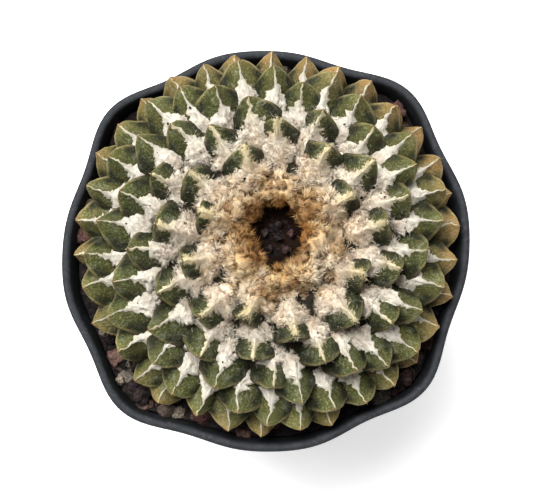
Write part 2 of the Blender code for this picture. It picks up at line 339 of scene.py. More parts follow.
class Finish:
    """A material with its Principled shader and its Object coordinates."""

    def __init__(self, name, roughness, **constants):
        self.material = bpy.data.materials.new(name)
        self.material.use_nodes = True
        self.tree = self.material.node_tree
        self.shader = self.tree.nodes["Principled BSDF"]
        self.shader.inputs["Roughness"].default_value = roughness
        for label, value in spaced(constants).items():
            self.shader.inputs[label].default_value = value
        self.place = Field(add_node(self.tree, "ShaderNodeTexCoord").outputs["Object"])

    def attribute(self, name):
        return Field(add_node(self.tree, "ShaderNodeAttribute", attribute_name=name).outputs["Fac"])

    def mottle(self, per_metre, cover=0.5, softness=0.3, place=None):
        node = add_node(self.tree, "ShaderNodeGroup", node_tree=mottle_group)
        for slot, value in zip(node.inputs, (place or self.place, per_metre, cover, softness)):
            feed(slot, value)
        return Field(node.outputs["Mask"])

    def grain(self, per_metre, pits=0.3):
        node = add_node(self.tree, "ShaderNodeGroup", node_tree=grain_group)
        for slot, value in zip(node.inputs, (self.place, per_metre, pits)):
            feed(slot, value)
        return Field(node.outputs["Height"])

    def mix(self, share, first, second):
        """first where share is 0, second where it is 1; a tuple is a screen colour."""
        node = add_node(self.tree, "ShaderNodeMix", data_type="RGBA", clamp_factor=True)
        for number, value in ((0, share), (6, first), (7, second)):
            feed(node.inputs[number], linear(*value) if isinstance(value, tuple) else value)
        return Field(node.outputs[2])

    def ramp(self, value, *stops):
        """A colour ramp from the position and the screen colour of each stop."""
        node = add_node(self.tree, "ShaderNodeValToRGB", {0: value})
        elements = node.color_ramp.elements
        while len(elements) < len(stops):
            elements.new(0.5)
        for element, (place, *colour) in zip(elements, stops):
            element.position, element.color = place, linear(*colour)
        return Field(node.outputs["Color"])

    def bump(self, height, distance, strength=1.0):
        node = add_node(
            self.tree, "ShaderNodeBump", {"Height": height, "Distance": distance, "Strength": strength}
        )
        feed(self.shader.inputs["Normal"], Field(node.outputs["Normal"]))

    def colour(self, value):
        feed(self.shader.inputs["Base Color"], value)

    def done(self):
        print(f"{self.material.name}: {len(self.tree.nodes)} nodes")
        return self.material


# %% [markdown]
# The plant's rule. A living rock cactus makes one tubercle after another at its growing
# point, each turned by about 137.5 degrees from the last, and the older ones are pushed
# outward and down. The spiral's values are the same as the solid's, so the fine
# tubercles stand where the solid's do. Each is drawn a little wider than in the solid,
# with straight slopes and a folded edge, because that is what a close look shows.

# %% Measures of the plant
POT_HEIGHT = 90 * MM
CROWN = Vector((2.9 * MM, 1.7 * MM, 0))
SKIRT = Vector((0.0, 1.4 * MM, 0))
FIRST_TUBERCLE, LAST_TUBERCLE = 6, 103
SPIRAL_START, SPIRAL_TURN = 270.85, -137.67     # degrees
DOME_RADIUS, DOME_RISE = 48.0 * MM, 22 * MM
SKIRT_HEIGHT = POT_HEIGHT + 3.2 * MM
FIRST_DOWN, DOWN_STEP, DOWN_POWER = 13.2, 2.551, 0.743
CROWN_LEAN, LEAN_FALL = 60, 0.62
TUBERCLE_LENGTH, YOUNG_LENGTH, GROWN_AT = 11.0 * MM, 8.4 * MM, 24
HALF_WIDTH, SHOULDER_BACK, OUTLINE_POWER = 6.2 * MM, 7.4 * MM, 1.06
DEPTH, KEEL_CURVE = 8.5 * MM, 5.2 * MM
FLANK_FALL, EDGE_FOLD, FOLD_POWER = 0.78, 0.17, 12     # a straight slope, then a fold at the edge
ROOT_REACH = 5.0 * MM
WOOLLY_UP_TO = 40
YOUNG_SLIMNESS = 0.3        # how much narrower the newest tubercles are
OLDEST = 100                # ages are counted as shares of this many tubercles


def flank_drop(share):
    """How far a flank has fallen at this share of the half width, as a share of the depth."""
    return FLANK_FALL * share + EDGE_FOLD * share ** FOLD_POWER


def down_angle(index):
    return math.radians(min(FIRST_DOWN + DOWN_STEP * index ** DOWN_POWER, 90))


def lean_at(index):
    return math.radians(CROWN_LEAN) - LEAN_FALL * down_angle(index)


def length_of(index):
    return YOUNG_LENGTH + (TUBERCLE_LENGTH - YOUNG_LENGTH) * min(index / GROWN_AT, 1)


def axil_at(index):
    """How far from the axis, and how high, the back end of a tubercle's crest lies."""
    down, lean, length = down_angle(index), lean_at(index), length_of(index)
    reach = DOME_RADIUS * math.sin(down) - length * math.cos(lean)
    return reach, SKIRT_HEIGHT + DOME_RISE * math.cos(down) - length * math.sin(lean)


print("axils from", [round(v * 1000, 1) for v in axil_at(FIRST_TUBERCLE)],
      "to", [round(v * 1000, 1) for v in axil_at(LAST_TUBERCLE)], "mm")

# %% [markdown]
# The skin of the tubercles is dull and finely pitted: dark green near the crown, olive
# further out, and tan to orange-brown on the old ones, most of all where the sun has
# reached. Attributes on the mesh say how far each point lies behind its tip and across
# its flank, so the colour follows the shape of each tubercle. The colours are laid one
# over another, as a painter would: first the tones of age, then painted shade toward
# each tubercle's back and in the valleys between tubercles, then grooves, flecks and
# pits, and the worn tip and a pale line along the edge last.

# %% Cactus skin
SUNNY_SIDE = (0.75, 0.66, 0.0)


def age_tones(skin, age, back, sunny, blotch):
    """Green to olive by age, and tan in patches on the old tubercles."""
    old = (age + (blotch - 0.5) * 0.45 + sunny * 0.12).clip(0.0, 1.0)
    green = skin.ramp(old, (0.0, 28, 42, 18), (0.35, 38, 52, 18), (0.65, 64, 72, 26),
                      (0.85, 86, 88, 41), (1.0, 114, 101, 58))
    faded = skin.mottle(340.0, cover=0.42, softness=0.5) * (age * 0.5 + sunny * 0.4 + 0.1)
    sunned = skin.mix(faded, green, (124, 112, 54))
    patch = skin.mottle(210.0, cover=0.68, softness=0.6)
    tan = (age + sunny * 0.28).step(0.78, 1.02) * patch * back.step(10.0, 2.5)
    return skin.mix(tan * (sunny * 0.85 + 0.35), sunned, (158, 116, 68))


def make_skin():
    skin = Finish("cactus skin", 0.58, Specular_IOR_Level=0.2)
    across, back, age = (skin.attribute(name) for name in ("across", "back", "age"))
    blotch = skin.mottle(260.0, softness=0.5)
    sunny = (skin.place.vector("DOT_PRODUCT", SUNNY_SIDE) / MM).step(-10.0, 40.0)
    toned = age_tones(skin, age, back, sunny, blotch)

    # Painted shade: the skin darkens toward each tubercle's back and in the valleys along its edges, where
    # neighbours shade it, and the marks below fade there too.
    edge_valley_shade = across.step(0.36, 0.82) * back.step(2.8, 5.6) * 0.6
    shaded = (back.step(1.2, 6.2) * 0.56 + edge_valley_shade).clip(0.0, 1.0)
    in_painted_shade = skin.mix(shaded * 0.98, toned, (7, 12, 5))

    grooves = combine(skin.tree, back * 0.8, across * 14.0, age * 300.0)
    groove = skin.mottle(1.0, cover=0.45, softness=0.5, place=grooves)
    ridged = skin.mix(groove * (0.3 - shaded * 0.2), in_painted_shade, (136, 138, 92))
    fleck = skin.mottle(1900.0, cover=0.33, softness=0.2)
    flecked = skin.mix(fleck * (0.58 - shaded * 0.46), ridged, (172, 172, 126))
    pit = skin.mottle(2200.0, cover=0.34, softness=0.2)
    pitted = skin.mix(pit * 0.6, flecked, (20, 28, 12))
    scurf = skin.mottle(480.0, cover=0.27, softness=0.2) * back.step(1.0, 3.0)
    scurfy = skin.mix(scurf * (0.32 - shaded * 0.2), pitted, (168, 172, 158))

    tip = back.step(2.2, 0.2) * (age * 0.5 + 0.15)
    tip = tip + back.step(4.0, 0.8) * age.step(0.6, 1.0) * blotch * 0.5
    tipped = skin.mix(tip.clip(0.0, 0.8), scurfy, (166, 131, 86))
    rim = (across - 1.0).math("ABSOLUTE").step(0.17, 0.03) * skin.mottle(430.0, cover=0.55, softness=0.6)
    rimmed = skin.mix(rim * (age * 0.6 + 0.3) * back.step(8.0, 3.0), tipped, (178, 160, 112))
    skin.colour(skin.mix(across.step(1.05, 1.4) * 0.7, rimmed, (84, 70, 44)))
    skin.bump(skin.grain(1700.0, pits=0.5) + groove * 0.8, 0.26 * MM, 1.0)
    return skin.done()


skin_finish = make_skin()

# %% [markdown]
# The wool is white and matted in the old furrows, cream further in, and amber where it
# wells up fresh around the growing point. Rain and light bleach it with age, so its
# colour follows the distance from the crown. Each lock is darker at its root than at
# its tip, partly in its own colour and partly as painted shade deep in the wool, so two
# ramps are mixed by an attribute that runs from root to tip. On the crest wool that
# attribute holds painted light and shade of the folds instead, and on the crown's ring
# painted shade between the tufts. Strands, painted shade of folds and stains go over
# that, then the cream of the threads at the tubercles' tips, and last painted shade in
# the crown's hollow: amber-brown on its wall and near black on its floor.

# %% Wool
# The painted shade on the hollow's wall, in amber-brown, is centred this far to the left.
HOLLOW_SHADE_SHIFT = Vector((-1.6 * MM, 0.3 * MM, 0))     # the hollow's left wall is the brown one


def bleached(wool, away, tipward, tint):
    """Amber to white by the distance from the crown, darker at the root of each lock, partly as painted
    shade.
    """
    patch = wool.mottle(170.0, softness=0.8)
    reach = ((away + (patch - 0.5) * 15.0 + (tint - 0.5) * 8.0) / 50.0).clip(0.0, 1.0)
    roots = wool.ramp(reach, (0.13, 62, 32, 9), (0.22, 134, 86, 33), (0.36, 186, 162, 136),
                      (0.50, 182, 168, 150), (0.66, 164, 155, 141))
    tips = wool.ramp(reach, (0.12, 220, 161, 76), (0.22, 250, 220, 160), (0.36, 252, 238, 210),
                     (0.50, 251, 244, 222), (0.66, 251, 247, 229))
    # Painted shade: the darker root colour stands partly for the shade deep among the fibres.
    return roots, wool.mix(tipward.clip(0.0, 1.0) ** 0.8 * (tint * 1.15 + 0.4), roots, tips)


def make_wool():
    wool = Finish("axil wool", 0.95, Specular_IOR_Level=0.1)
    tipward, tint = wool.attribute("tipward"), wool.attribute("tint")
    share, across, age = (wool.attribute(name) for name in ("share", "across", "age"))
    away = level_distance(wool.place, CROWN)
    roots, streaked = bleached(wool, away, tipward, tint)

    on_crest = share.step(0.0, 0.04)
    calm = 1.0 - share.step(0.5, 0.3) * on_crest * 0.7
    strands = combine(wool.tree, share * 5.0, across * 13.0, age * 700.0)
    strand = wool.mottle(1.0, cover=0.48, softness=0.5, place=strands) * on_crest
    stranded = wool.mix(strand * calm * 0.34, streaked, roots)
    # Painted shade: patches of the root colour and of grey-pink darken the felt as the shade in its folds
    # would, less near the threads.
    fold_place = wool.place.vector("MULTIPLY", (1.0, 1.0, 0.5))
    fold_shade = wool.mottle(1500.0, cover=0.42, softness=0.6, place=fold_place)
    folded = wool.mix(fold_shade * calm * 0.42, stranded, roots)
    shade = wool.mottle(520.0, cover=0.40, softness=0.5)
    shaded = wool.mix(shade * calm * 0.42, folded, (142, 130, 128))
    stain = wool.mottle(330.0, cover=0.25, softness=0.3)
    stained = wool.mix(stain * 0.5, shaded, (136, 96, 66))

    edge = across.math("ABSOLUTE").step(0.5, 1.0) * share.step(0.8, 0.5)
    cream = (share.step(0.45, 0.05) + edge * 0.6).clip(0.0, 1.0) * on_crest * (age * 0.5 + 0.3)
    cream = cream + share.step(0.66, 0.4) * on_crest * age.step(0.5, 0.2) * 0.3
    creamy = wool.mix(cream.clip(0.0, 1.0), stained, (228, 210, 152))

    # Painted shade in the crown's hollow: amber-brown on its wall, less on the fibres' tips, and near black
    # on its floor.
    inside = level_distance(wool.place, CROWN + HOLLOW_SHADE_SHIFT).step(10.2, 7.4)
    hollow_wall_shaded = wool.mix(inside * (0.75 - tipward.clip(0.0, 1.0) * 0.35), creamy, (112, 66, 22))
    deep = (wool.place.part(2) / MM).step(104.5, 101.0) * away.step(9.0, 7.2)
    wool.colour(wool.mix(deep, hollow_wall_shaded, (30, 20, 14)))
    wool.bump(wool.grain(1500.0, pits=0.2) + strand * 0.8, 0.35 * MM, 1.0)
    return wool.done()


wool_finish = make_wool()

# %% [markdown]
# Between the tubercles the stem itself shows in narrow, shaded gaps. It is dark green
# to brown, with scraps of old felt, and its near-black tones are partly painted shade
# for those gaps.

# %% Stem tissue
def make_stem_finish():
    stem = Finish("stem tissue", 0.85, Specular_IOR_Level=0.2)
    scrap = stem.mottle(420.0, cover=0.36, softness=0.3)
    # Near-black greens and browns: partly the stem's own colour, partly painted shade for the gaps.
    brown = stem.mix(stem.mottle(200.0, softness=0.5), (17, 22, 11), (34, 24, 15))
    stem.colour(stem.mix(scrap * 0.2, brown, (96, 84, 70)))
    stem.bump(stem.grain(1200.0), 0.3 * MM, 1.0)
    return stem.done()


stem_finish = make_stem_finish()

# %% [markdown]
# The substrate is crushed scoria and pumice: hard, porous bits from purple-black to
# red-brown, some grey. One material serves them all, and an attribute on each stone
# picks its tone. At the lower right the grit is darker, as painted shadow where the
# plant shades the soil.

# %% Scoria and grit
PLANT_SHADOW_SIDE = (0.7, -0.7, 0.0)


def make_grit():
    grit = Finish("scoria grit", 0.9, Specular_IOR_Level=0.2)
    tone = grit.attribute("tone")
    base = grit.ramp(tone, (0.0, 22, 17, 18), (0.25, 34, 26, 27), (0.5, 84, 54, 52),
                     (0.7, 96, 72, 64), (0.85, 86, 82, 76), (1.0, 146, 134, 116))
    wear = grit.mottle(900.0, cover=0.4, softness=0.3) * (tone * 0.4 + 0.08)
    worn = grit.mix(wear, base, (140, 124, 112))
    pored = grit.mix(grit.mottle(2600.0, cover=0.42, softness=0.2) * 0.7, worn, (24, 18, 18))
    # Painted shadow: the grit at the lower right, in the plant's shadow, is darkened.
    plant_shadow = (grit.place.vector("DOT_PRODUCT", PLANT_SHADOW_SIDE) / MM).step(22.0, 38.0)
    grit.colour(grit.mix(plant_shadow * 0.6, pored, (16, 12, 14)))
    grit.bump(grit.grain(1700.0, pits=1.2), 0.35 * MM, 1.0)
    return grit.done()


grit_finish = make_grit()

# %% [markdown]
# The pot is thin, soft polypropylene, black and dull. Dust pales it in patches, handling
# has rubbed its lip a little grey, and fine upright scuffs mark the wall. The top band
# of the pot, up to the lip, is a little paler: painted light where the lip catches the
# light. The height in the Object coordinates tells the finish where the lip begins.

# %% Pot plastic
def make_plastic():
    plastic = Finish("black nursery plastic", 0.6, Specular_IOR_Level=0.22)
    height = plastic.place.part(2) * (1 / MM)
    scuff_place = plastic.place.vector("MULTIPLY", (1.0, 1.0, 0.25))
    scuff = plastic.mottle(1100.0, cover=0.27, softness=0.2, place=scuff_place)
    scuff = scuff * plastic.mottle(60.0, cover=0.4)
    dust = plastic.mottle(120.0, cover=0.5, softness=0.6)
    black = plastic.mix(dust * 0.6, (18, 19, 21), (35, 37, 40))
    # Painted light: the top band of the pot, up to the lip, is paler, as the lip catches soft light.
    lip = plastic.mix(height.step(84.0, 89.5) * 0.4, black, (40, 42, 45))
    rubbed = plastic.mottle(700.0, cover=0.45, softness=0.5) * height.step(87.6, 89.6)
    worn = plastic.mix(rubbed * 0.2, lip, (84, 88, 94))
    plastic.colour(plastic.mix(scuff * (height.step(60.0, 90.0) * 0.3 + 0.1), worn, (116, 116, 116)))
    feed(plastic.shader.inputs["Roughness"], 0.62 + dust * 0.16 + scuff * 0.1)
    plastic.bump(plastic.grain(1400.0, pits=0.1), 0.05 * MM, 0.5)
    return plastic.done()


plastic_finish = make_plastic()

# %% [markdown]
# One tubercle. Seen along its length it is a roof: two straight slopes meet in a crest
# and fold over at the edge, and a keel runs below. It is drawn once, as rings of points
# from its tip back into the stem, and a node tree then sets 98 copies on the spiral. The
# old ones are worn blunt: the tree pushes the points near their tips back a little.

# %% The shape of one tubercle
RING_BACKS = (0.12, 0.4, 0.9, 1.5, 2.3, 3.2, 4.2, 5.3, 6.5, 7.8, 9.2, 10.8, 12.6)
FLANK_STEPS = (0.0, 0.05, 0.2, 0.4, 0.6, 0.78, 0.88, 0.95, 1.0)
KEEL_STEPS, KEEL_POWER = (0.92, 0.66, 0.34), 1.6


def half_width_at(back):
    return HALF_WIDTH * (1 - (1 - min(back / SHOULDER_BACK, 1)) ** OUTLINE_POWER)


def depth_at(back):
    return DEPTH * (1 - math.exp(-back / KEEL_CURVE))


def tubercle_ring(back):
    """Points round one cross-section, with each one's share of the way round to the keel."""
    wide, deep = half_width_at(back), depth_at(back)
    half = [(share, share * wide, -deep * flank_drop(share)) for share in FLANK_STEPS]
    for share in KEEL_STEPS:
        drop = 1 - (1 - flank_drop(1)) * share ** KEEL_POWER
        half.append((2 - share, share * wide, -deep * drop))
    right = [(-back, y, z) for _, y, z in half]
    left = [(-back, -y, z) for _, y, z in half[1:]]
    shares = [share for share, _, _ in half]
    points = right + [(-back, 0, -deep)] + left[::-1]
    return points, shares + [2.0] + shares[1:][::-1]


def make_tubercle_mesh():
    rings, across, backs = [[(0, 0, 0)]], [0.0], [0.0]
    for back in RING_BACKS:
        points, shares = tubercle_ring(back * MM)
        rings.append(points)
        across += shares
        backs += [back] * len(points)
    end = TUBERCLE_LENGTH + ROOT_REACH
    rings.append([(-end, 0, -0.75 * DEPTH)])
    across.append(1.0)
    backs.append(end / MM)
    return lofted("tubercle", rings, across=across, back=backs)


tubercle_mesh = make_tubercle_mesh()
print("one tubercle:", triangles(tubercle_mesh), "triangles")

# %% [markdown]
# The spiral. One node group works out every tubercle's place from its number alone, and
# both the tubercles and their wool use it. It gives out points, each with the turn, the
# length and the directions that the pieces set on it need.

# %% Node group: the spiral's points
def store(tree, geometry, name, value, kind="FLOAT"):
    node = add_node(tree, "GeometryNodeStoreNamedAttribute", data_type=kind, domain="POINT")
    feed(node.inputs["Geometry"], geometry)
    node.inputs["Name"].default_value = name
    feed(node.inputs["Value"], value)
    return Field(node.outputs["Geometry"])


def read(tree, name, kind="FLOAT"):
    node = add_node(tree, "GeometryNodeInputNamedAttribute", data_type=kind)
    node.inputs["Name"].default_value = name
    return Field(node.outputs["Attribute"])


def turned(tree, vector, rotation):
    node = add_node(tree, "FunctionNodeRotateVector", {"Vector": vector, "Rotation": rotation})
    return Field(node.outputs[0])


def random_value(tree, low, high, seed, kind="FLOAT"):
    node = add_node(tree, "FunctionNodeRandomValue", data_type=kind)
    slots = [slot for slot in node.inputs if slot.enabled]
    feed(slots[0], low)
    feed(slots[1], high)
    feed(node.inputs["Seed"], seed)
    return Field(next(out for out in node.outputs if out.enabled))


def as_rotation(tree, angles):
    return Field(add_node(tree, "FunctionNodeEulerToRotation", {0: angles}).outputs[0])


SPIRAL_INPUTS = {
    "First": FIRST_TUBERCLE, "Last": LAST_TUBERCLE,
    "Start Degrees": SPIRAL_START, "Turn Degrees": SPIRAL_TURN,
    "Dome Radius": DOME_RADIUS, "Dome Rise": DOME_RISE, "Skirt Height": SKIRT_HEIGHT,
    "Crown Centre": tuple(CROWN), "Skirt Centre": tuple(SKIRT), "Sway Degrees": 8.5, "Seed": 5,
}


def make_spiral_group():
    tree, given = new_tree("Spiral points", "GeometryNodeTree", SPIRAL_INPUTS,
                           {"Points": "NodeSocketGeometry", "Rotation": "NodeSocketRotation"})
    degree = math.pi / 180
    index = Field(tree.nodes.new("GeometryNodeInputIndex").outputs[0]) + given["First"]
    down = ((index ** DOWN_POWER) * DOWN_STEP + FIRST_DOWN).math("MINIMUM", 90.0) * degree
    lean = down * -LEAN_FALL + CROWN_LEAN * degree
    turn = (index * given["Turn Degrees"] + given["Start Degrees"]) * degree
    age = index * (1 / OLDEST)
    share = age.math("MINIMUM", 1.0)
    centre = given["Crown Centre"].vector("MULTIPLY", 1.0 - share)
    centre = centre.vector("ADD", given["Skirt Centre"].vector("MULTIPLY", share))
    reach = down.math("SINE") * given["Dome Radius"]
    tip = combine(tree, turn.math("COSINE") * reach, turn.math("SINE") * reach,
                  down.math("COSINE") * given["Dome Rise"] + given["Skirt Height"])
    points = add_node(tree, "GeometryNodePoints", {"Count": given["Last"] - given["First"] + 1.0})
    feed(points.inputs["Position"], tip.vector("ADD", centre))
    sway = [random_value(tree, -1.0, 1.0, given["Seed"] + float(k)) * given["Sway Degrees"] * degree
            for k in range(3)]
    rotation = as_rotation(tree, combine(tree, sway[0] * 1.5, sway[1] - lean, turn + sway[2]))
    grown = YOUNG_LENGTH + (index / GROWN_AT).math("MINIMUM", 1.0) * (TUBERCLE_LENGTH - YOUNG_LENGTH)
    youth = 1.0 - (index / WOOLLY_UP_TO).math("MINIMUM", 1.0)
    made = Field(points.outputs[0])
    for label, value in (("age", age), ("youth", youth), ("length", grown),
                         ("girth", 1.0 - youth * YOUNG_SLIMNESS)):
        made = store(tree, made, label, value)
    for label, axis in (("along", (1, 0, 0)), ("side", (0, 1, 0)), ("above", (0, 0, 1))):
        made = store(tree, made, label, turned(tree, axis, rotation), "FLOAT_VECTOR")
    put_out(tree, {"Points": made, "Rotation": rotation})
    return tree


spiral_group = make_spiral_group()
print("the spiral's points:", LAST_TUBERCLE - FIRST_TUBERCLE + 1)


def spiral(tree, given):
    """Places the spiral group in a tree, fed by the tree's own inputs of the same names."""
    node = add_node(tree, "GeometryNodeGroup", node_tree=spiral_group)
    for label in SPIRAL_INPUTS:
        feed(node.inputs[label], given[label])
    return Field(node.outputs["Points"]), Field(node.outputs["Rotation"])


# %% [markdown]
# Nothing that grows is quite regular. A slow noise pushes every point of the plant a
# little, by its place alone, so the skin, its wool and what lies on it all drift
# together and stay in touch.

# %% Node groups: the drift, and the ending that every tree shares
def noise_field(tree, place, per_metre, detail=2.0):
    """A noise vector from -1 to 1 for each place."""
    node = add_node(tree, "ShaderNodeTexNoise", {"Vector": place, "Scale": per_metre, "Detail": detail})
    return Field(node.outputs["Color"]).vector("SUBTRACT", 0.5).vector("MULTIPLY", 2.0)


def position(tree):
    return Field(tree.nodes.new("GeometryNodeInputPosition").outputs[0])


def normal(tree):
    return Field(tree.nodes.new("GeometryNodeInputNormal").outputs[0])


def move(tree, geometry, offset):
    node = add_node(tree, "GeometryNodeSetPosition", {"Geometry": geometry, "Offset": offset})
    return Field(node.outputs[0])


def swell(tree, geometry, height):
    """Moves a skin out along its normal."""
    return move(tree, geometry, normal(tree).vector("MULTIPLY", height))


def drift(tree, geometry, amount=0.9 * MM, per_metre=130.0):
    return move(tree, geometry, noise_field(tree, position(tree), per_metre).vector("MULTIPLY", amount))


def blunted(tree, geometry, back, reach=2.6, amount=0.45):
    """Pushes the points near a tubercle's tip back along it. back is in millimetres."""
    near = (reach - back).math("MAXIMUM", 0.0)
    wear = read(tree, "age").step(0.1, 0.75) * 0.75 + 0.25
    along = read(tree, "along", "FLOAT_VECTOR")
    return move(tree, geometry, along.vector("MULTIPLY", near * wear * (-amount * MM)))


def realized(tree, instances):
    return Field(add_node(tree, "GeometryNodeRealizeInstances", {0: instances}).outputs[0])


def with_material(tree, geometry, material, **only):
    node = add_node(tree, "GeometryNodeSetMaterial", {"Geometry": geometry, "Material": material, **only})
    return Field(node.outputs[0])


def dressed(tree, geometry, material):
    """The end of each tree: real geometry, in its material."""
    put_out(tree, {"Geometry": with_material(tree, realized(tree, geometry), material)})


def instances_of(tree, shape, points, rotation, scale, **more):
    """Sets a shape on each point."""
    node = add_node(tree, "GeometryNodeInstanceOnPoints", {
        "Points": points, "Instance": shape, "Rotation": rotation, "Scale": scale, **spaced(more),
    })
    return Field(node.outputs[0])


def picked_of(tree, kinds, count, points, rotation, scale, seed):
    """Sets one of a collection's shapes on each point, picked at random."""
    shapes = add_node(tree, "GeometryNodeCollectionInfo", {
        "Collection": kinds, "Separate Children": True, "Reset Children": True,
    })
    return instances_of(tree, Field(shapes.outputs[0]), points, rotation, scale, Pick_Instance=True,
                        Instance_Index=random_value(tree, 0, count - 1, seed, "INT"))


# %% The tubercles
def make_tubercle_tree():
    tree, given = geometry_tree("Tubercles", {**SPIRAL_INPUTS, "Size Spread": 0.15,
                                              "Material": "NodeSocketMaterial"})
    points, rotation = spiral(tree, given)
    wider, deeper = (1.0 + random_value(tree, -1.0, 1.0, given["Seed"] + number) * given["Size Spread"]
                     for number in (11.0, 12.0))
    grown = read(tree, "length") / TUBERCLE_LENGTH
    scale = combine(tree, grown, wider * read(tree, "girth"), deeper)
    real = realized(tree, instances_of(tree, given["Geometry"], points, rotation, scale))
    worn = drift(tree, blunted(tree, real, read(tree, "back")))
    lumps = noise_field(tree, position(tree), 420.0).part(0) * 0.16 * MM
    dressed(tree, swell(tree, worn, lumps), given["Material"])
    return tree


tubercles = grow("tubercles", tubercle_mesh, make_tubercle_tree(), {"Material": skin_finish})

# %% [markdown]
# Under the tubercles lies the stem. At its top, fresh wool wells up in a ring round the
# growing point, which lies in a dark hollow. Both are one closed skin turned round the
# axis and roughened, in two finishes that meet where the wool gives way to tissue.

# %% Stem, wool ring and the crown's hollow
RING_PROFILE = (     # radius and height of the hollow and of the wool round it, in mm
    (1.8, 97.2), (3.8, 97.5), (5.2, 98.5), (5.9, 99.8), (6.2, 101.2), (6.5, 102.6), (6.8, 103.8),
    (7.3, 104.7), (8.0, 105.4), (8.8, 105.9), (9.7, 106.1), (10.7, 106.0), (11.7, 105.6),
)
UNDERSIDE = ((33, 88.5), (27, 86.6), (21, 84.8), (19.5, 83.2), (19, 80.5))     # radius and height, in mm
TOP_POINT, BOTTOM_POINT = 97.1 * MM, 80 * MM
BED_SEGMENTS, BED_RINGS, BED_CROWDING = 240, 56, 0.9
BED_FROM, BED_TO = 6.4, 98      # the bed follows the axils between these tubercles' numbers
STEM_DROP = 2.2 * MM
LOBES_END, LOBES_FADE = 11, 4       # mm from the axis, and how wide they fade


def hollow_shape(turn):
    """The crown's hollow is longer than wide, with lobes where tufts lean into it."""
    return 1.13 + 0.2 * math.cos(2 * turn - 3.6) + 0.07 * math.sin(5 * turn) + 0.05 * math.sin(8 * turn + 1)


def bed_profile():
    """(centre, radius, height, lobes) of each ring, from the hollow's floor outward and under."""
    for radius, height in RING_PROFILE:
        yield CROWN, radius * MM, height * MM, max(0, min(1, (LOBES_END - radius) / LOBES_FADE))
    for step in range(BED_RINGS):
        index = BED_FROM + (BED_TO - BED_FROM) * (step / (BED_RINGS - 1)) ** BED_CROWDING
        reach, height = axil_at(index)
        yield CROWN.lerp(SKIRT, min(index / OLDEST, 1)), reach, height - STEM_DROP, 0
    for radius, height in UNDERSIDE:
        yield SKIRT, radius * MM, height * MM, 0


def make_bed_mesh():
    rings = [[(*CROWN.xy, TOP_POINT)]]
    for centre, radius, height, lobes in bed_profile():
        rings.append([around(turn, radius * (1 + lobes * (hollow_shape(turn) - 1)), height, centre)
                      for turn in turns_of(BED_SEGMENTS)])
    rings.append([(*SKIRT.xy, BOTTOM_POINT)])
    points = [point for ring in rings for point in ring]
    faces = [face[::-1] for face in loft(rings)]
    return mesh_of("bed", points, faces, tint=[0.5] * len(points))


def from_crown(tree):
    """Each point's distance from the growing axis, in millimetres."""
    return level_distance(position(tree), CROWN)


def make_bed_tree():
    tree, given = geometry_tree("Stem", {
        "Lump Height": 0.6 * MM, "Tuft Height": 2.6 * MM, "Wool Reach": 14.6,
        "Wool": "NodeSocketMaterial", "Tissue": "NodeSocketMaterial",
    })
    away = from_crown(tree)
    crown_share = away.step(7.0, 9.5) * away.step(20.0, 13.0)
    tuft = noise_field(tree, position(tree), 230.0, 1.0).part(0)
    # Painted shade: the raised tufts of the crown's ring are paler, and the hollows between them darker.
    tuft_lit = store(tree, given["Geometry"], "tipward", (tuft * 0.9 + 0.45).clip(0.0, 1.0))
    lumps = noise_field(tree, position(tree), 620.0, 3.0).part(1) * given["Lump Height"]
    raised = tuft * given["Tuft Height"] * crown_share + lumps
    rough = drift(tree, swell(tree, tuft_lit, raised))
    reach = given["Wool Reach"]
    woolly = with_material(tree, rough, given["Wool"], Selection=away.math("LESS_THAN", reach))
    bare = with_material(tree, woolly, given["Tissue"], Selection=away.math("GREATER_THAN", reach))
    put_out(tree, {"Geometry": bare})
    return tree


stem = grow("stem", make_bed_mesh(), make_bed_tree(), {"Wool": wool_finish, "Tissue": stem_finish})

# %% [markdown]
# Along each crest runs a furrow with wool in it: a thread at the tip that flares into a
# patch of felt where the tubercle ends. Its width and height follow a formula in the
# distance behind the tip, so its mesh is a bare strip and the node tree gives it its
# shape, wider and fuller on the young tubercles and on the side that faces the window.

# %% Wool along the crests: the bare strip
CREST_STEPS, CREST_START, CREST_END, CREST_CAP = 36, 0.015, 1.22, 0.02
CREST_UPPER, CREST_UNDER, CREST_SINK = 15, 3, 1.2 * MM
FLARE_START, FLARE_SPAN, FLARE_POWER = 0.43, 0.52, 1.7      # where along the crest the thread flares
CREST_SIDES = [-1 + 2 * i / (CREST_UPPER - 1) for i in range(CREST_UPPER)] + [0.5, 0.0, -0.5]


def make_crest_mesh():
    """A closed strip: local X is the share of the crest behind the tip, across is its side."""
    rings, across, upper = [[(-CREST_START, 0, 0)]], [0.0], [0.0]
    for step in range(1, CREST_STEPS + 1):
        rings.append([(-CREST_END * step / CREST_STEPS, 0, 0)] * len(CREST_SIDES))
        across += CREST_SIDES
        upper += [1.0] * CREST_UPPER + [0.0] * CREST_UNDER
    rings.append([(-CREST_END - CREST_CAP, 0, 0)])
    share = [-point[0] for ring in rings for point in ring]
    return lofted("crest", rings, across=across + [0.0], upper=upper + [0.0], share=share,
                  tint=[0.5] * len(share))


# %% [markdown]
# The formula has three steps. The first says how far the wool reaches to each side, with
# a torn edge. The second lays it on the tubercle's flanks, lets it bulge in the middle
# and sinks its underside. The third folds it into ridges that fan out toward the axil.

# %% Wool along the crests: its width
WINDOW_REACH = 40 * MM      # the side that faces the window is fullest this far from the axis


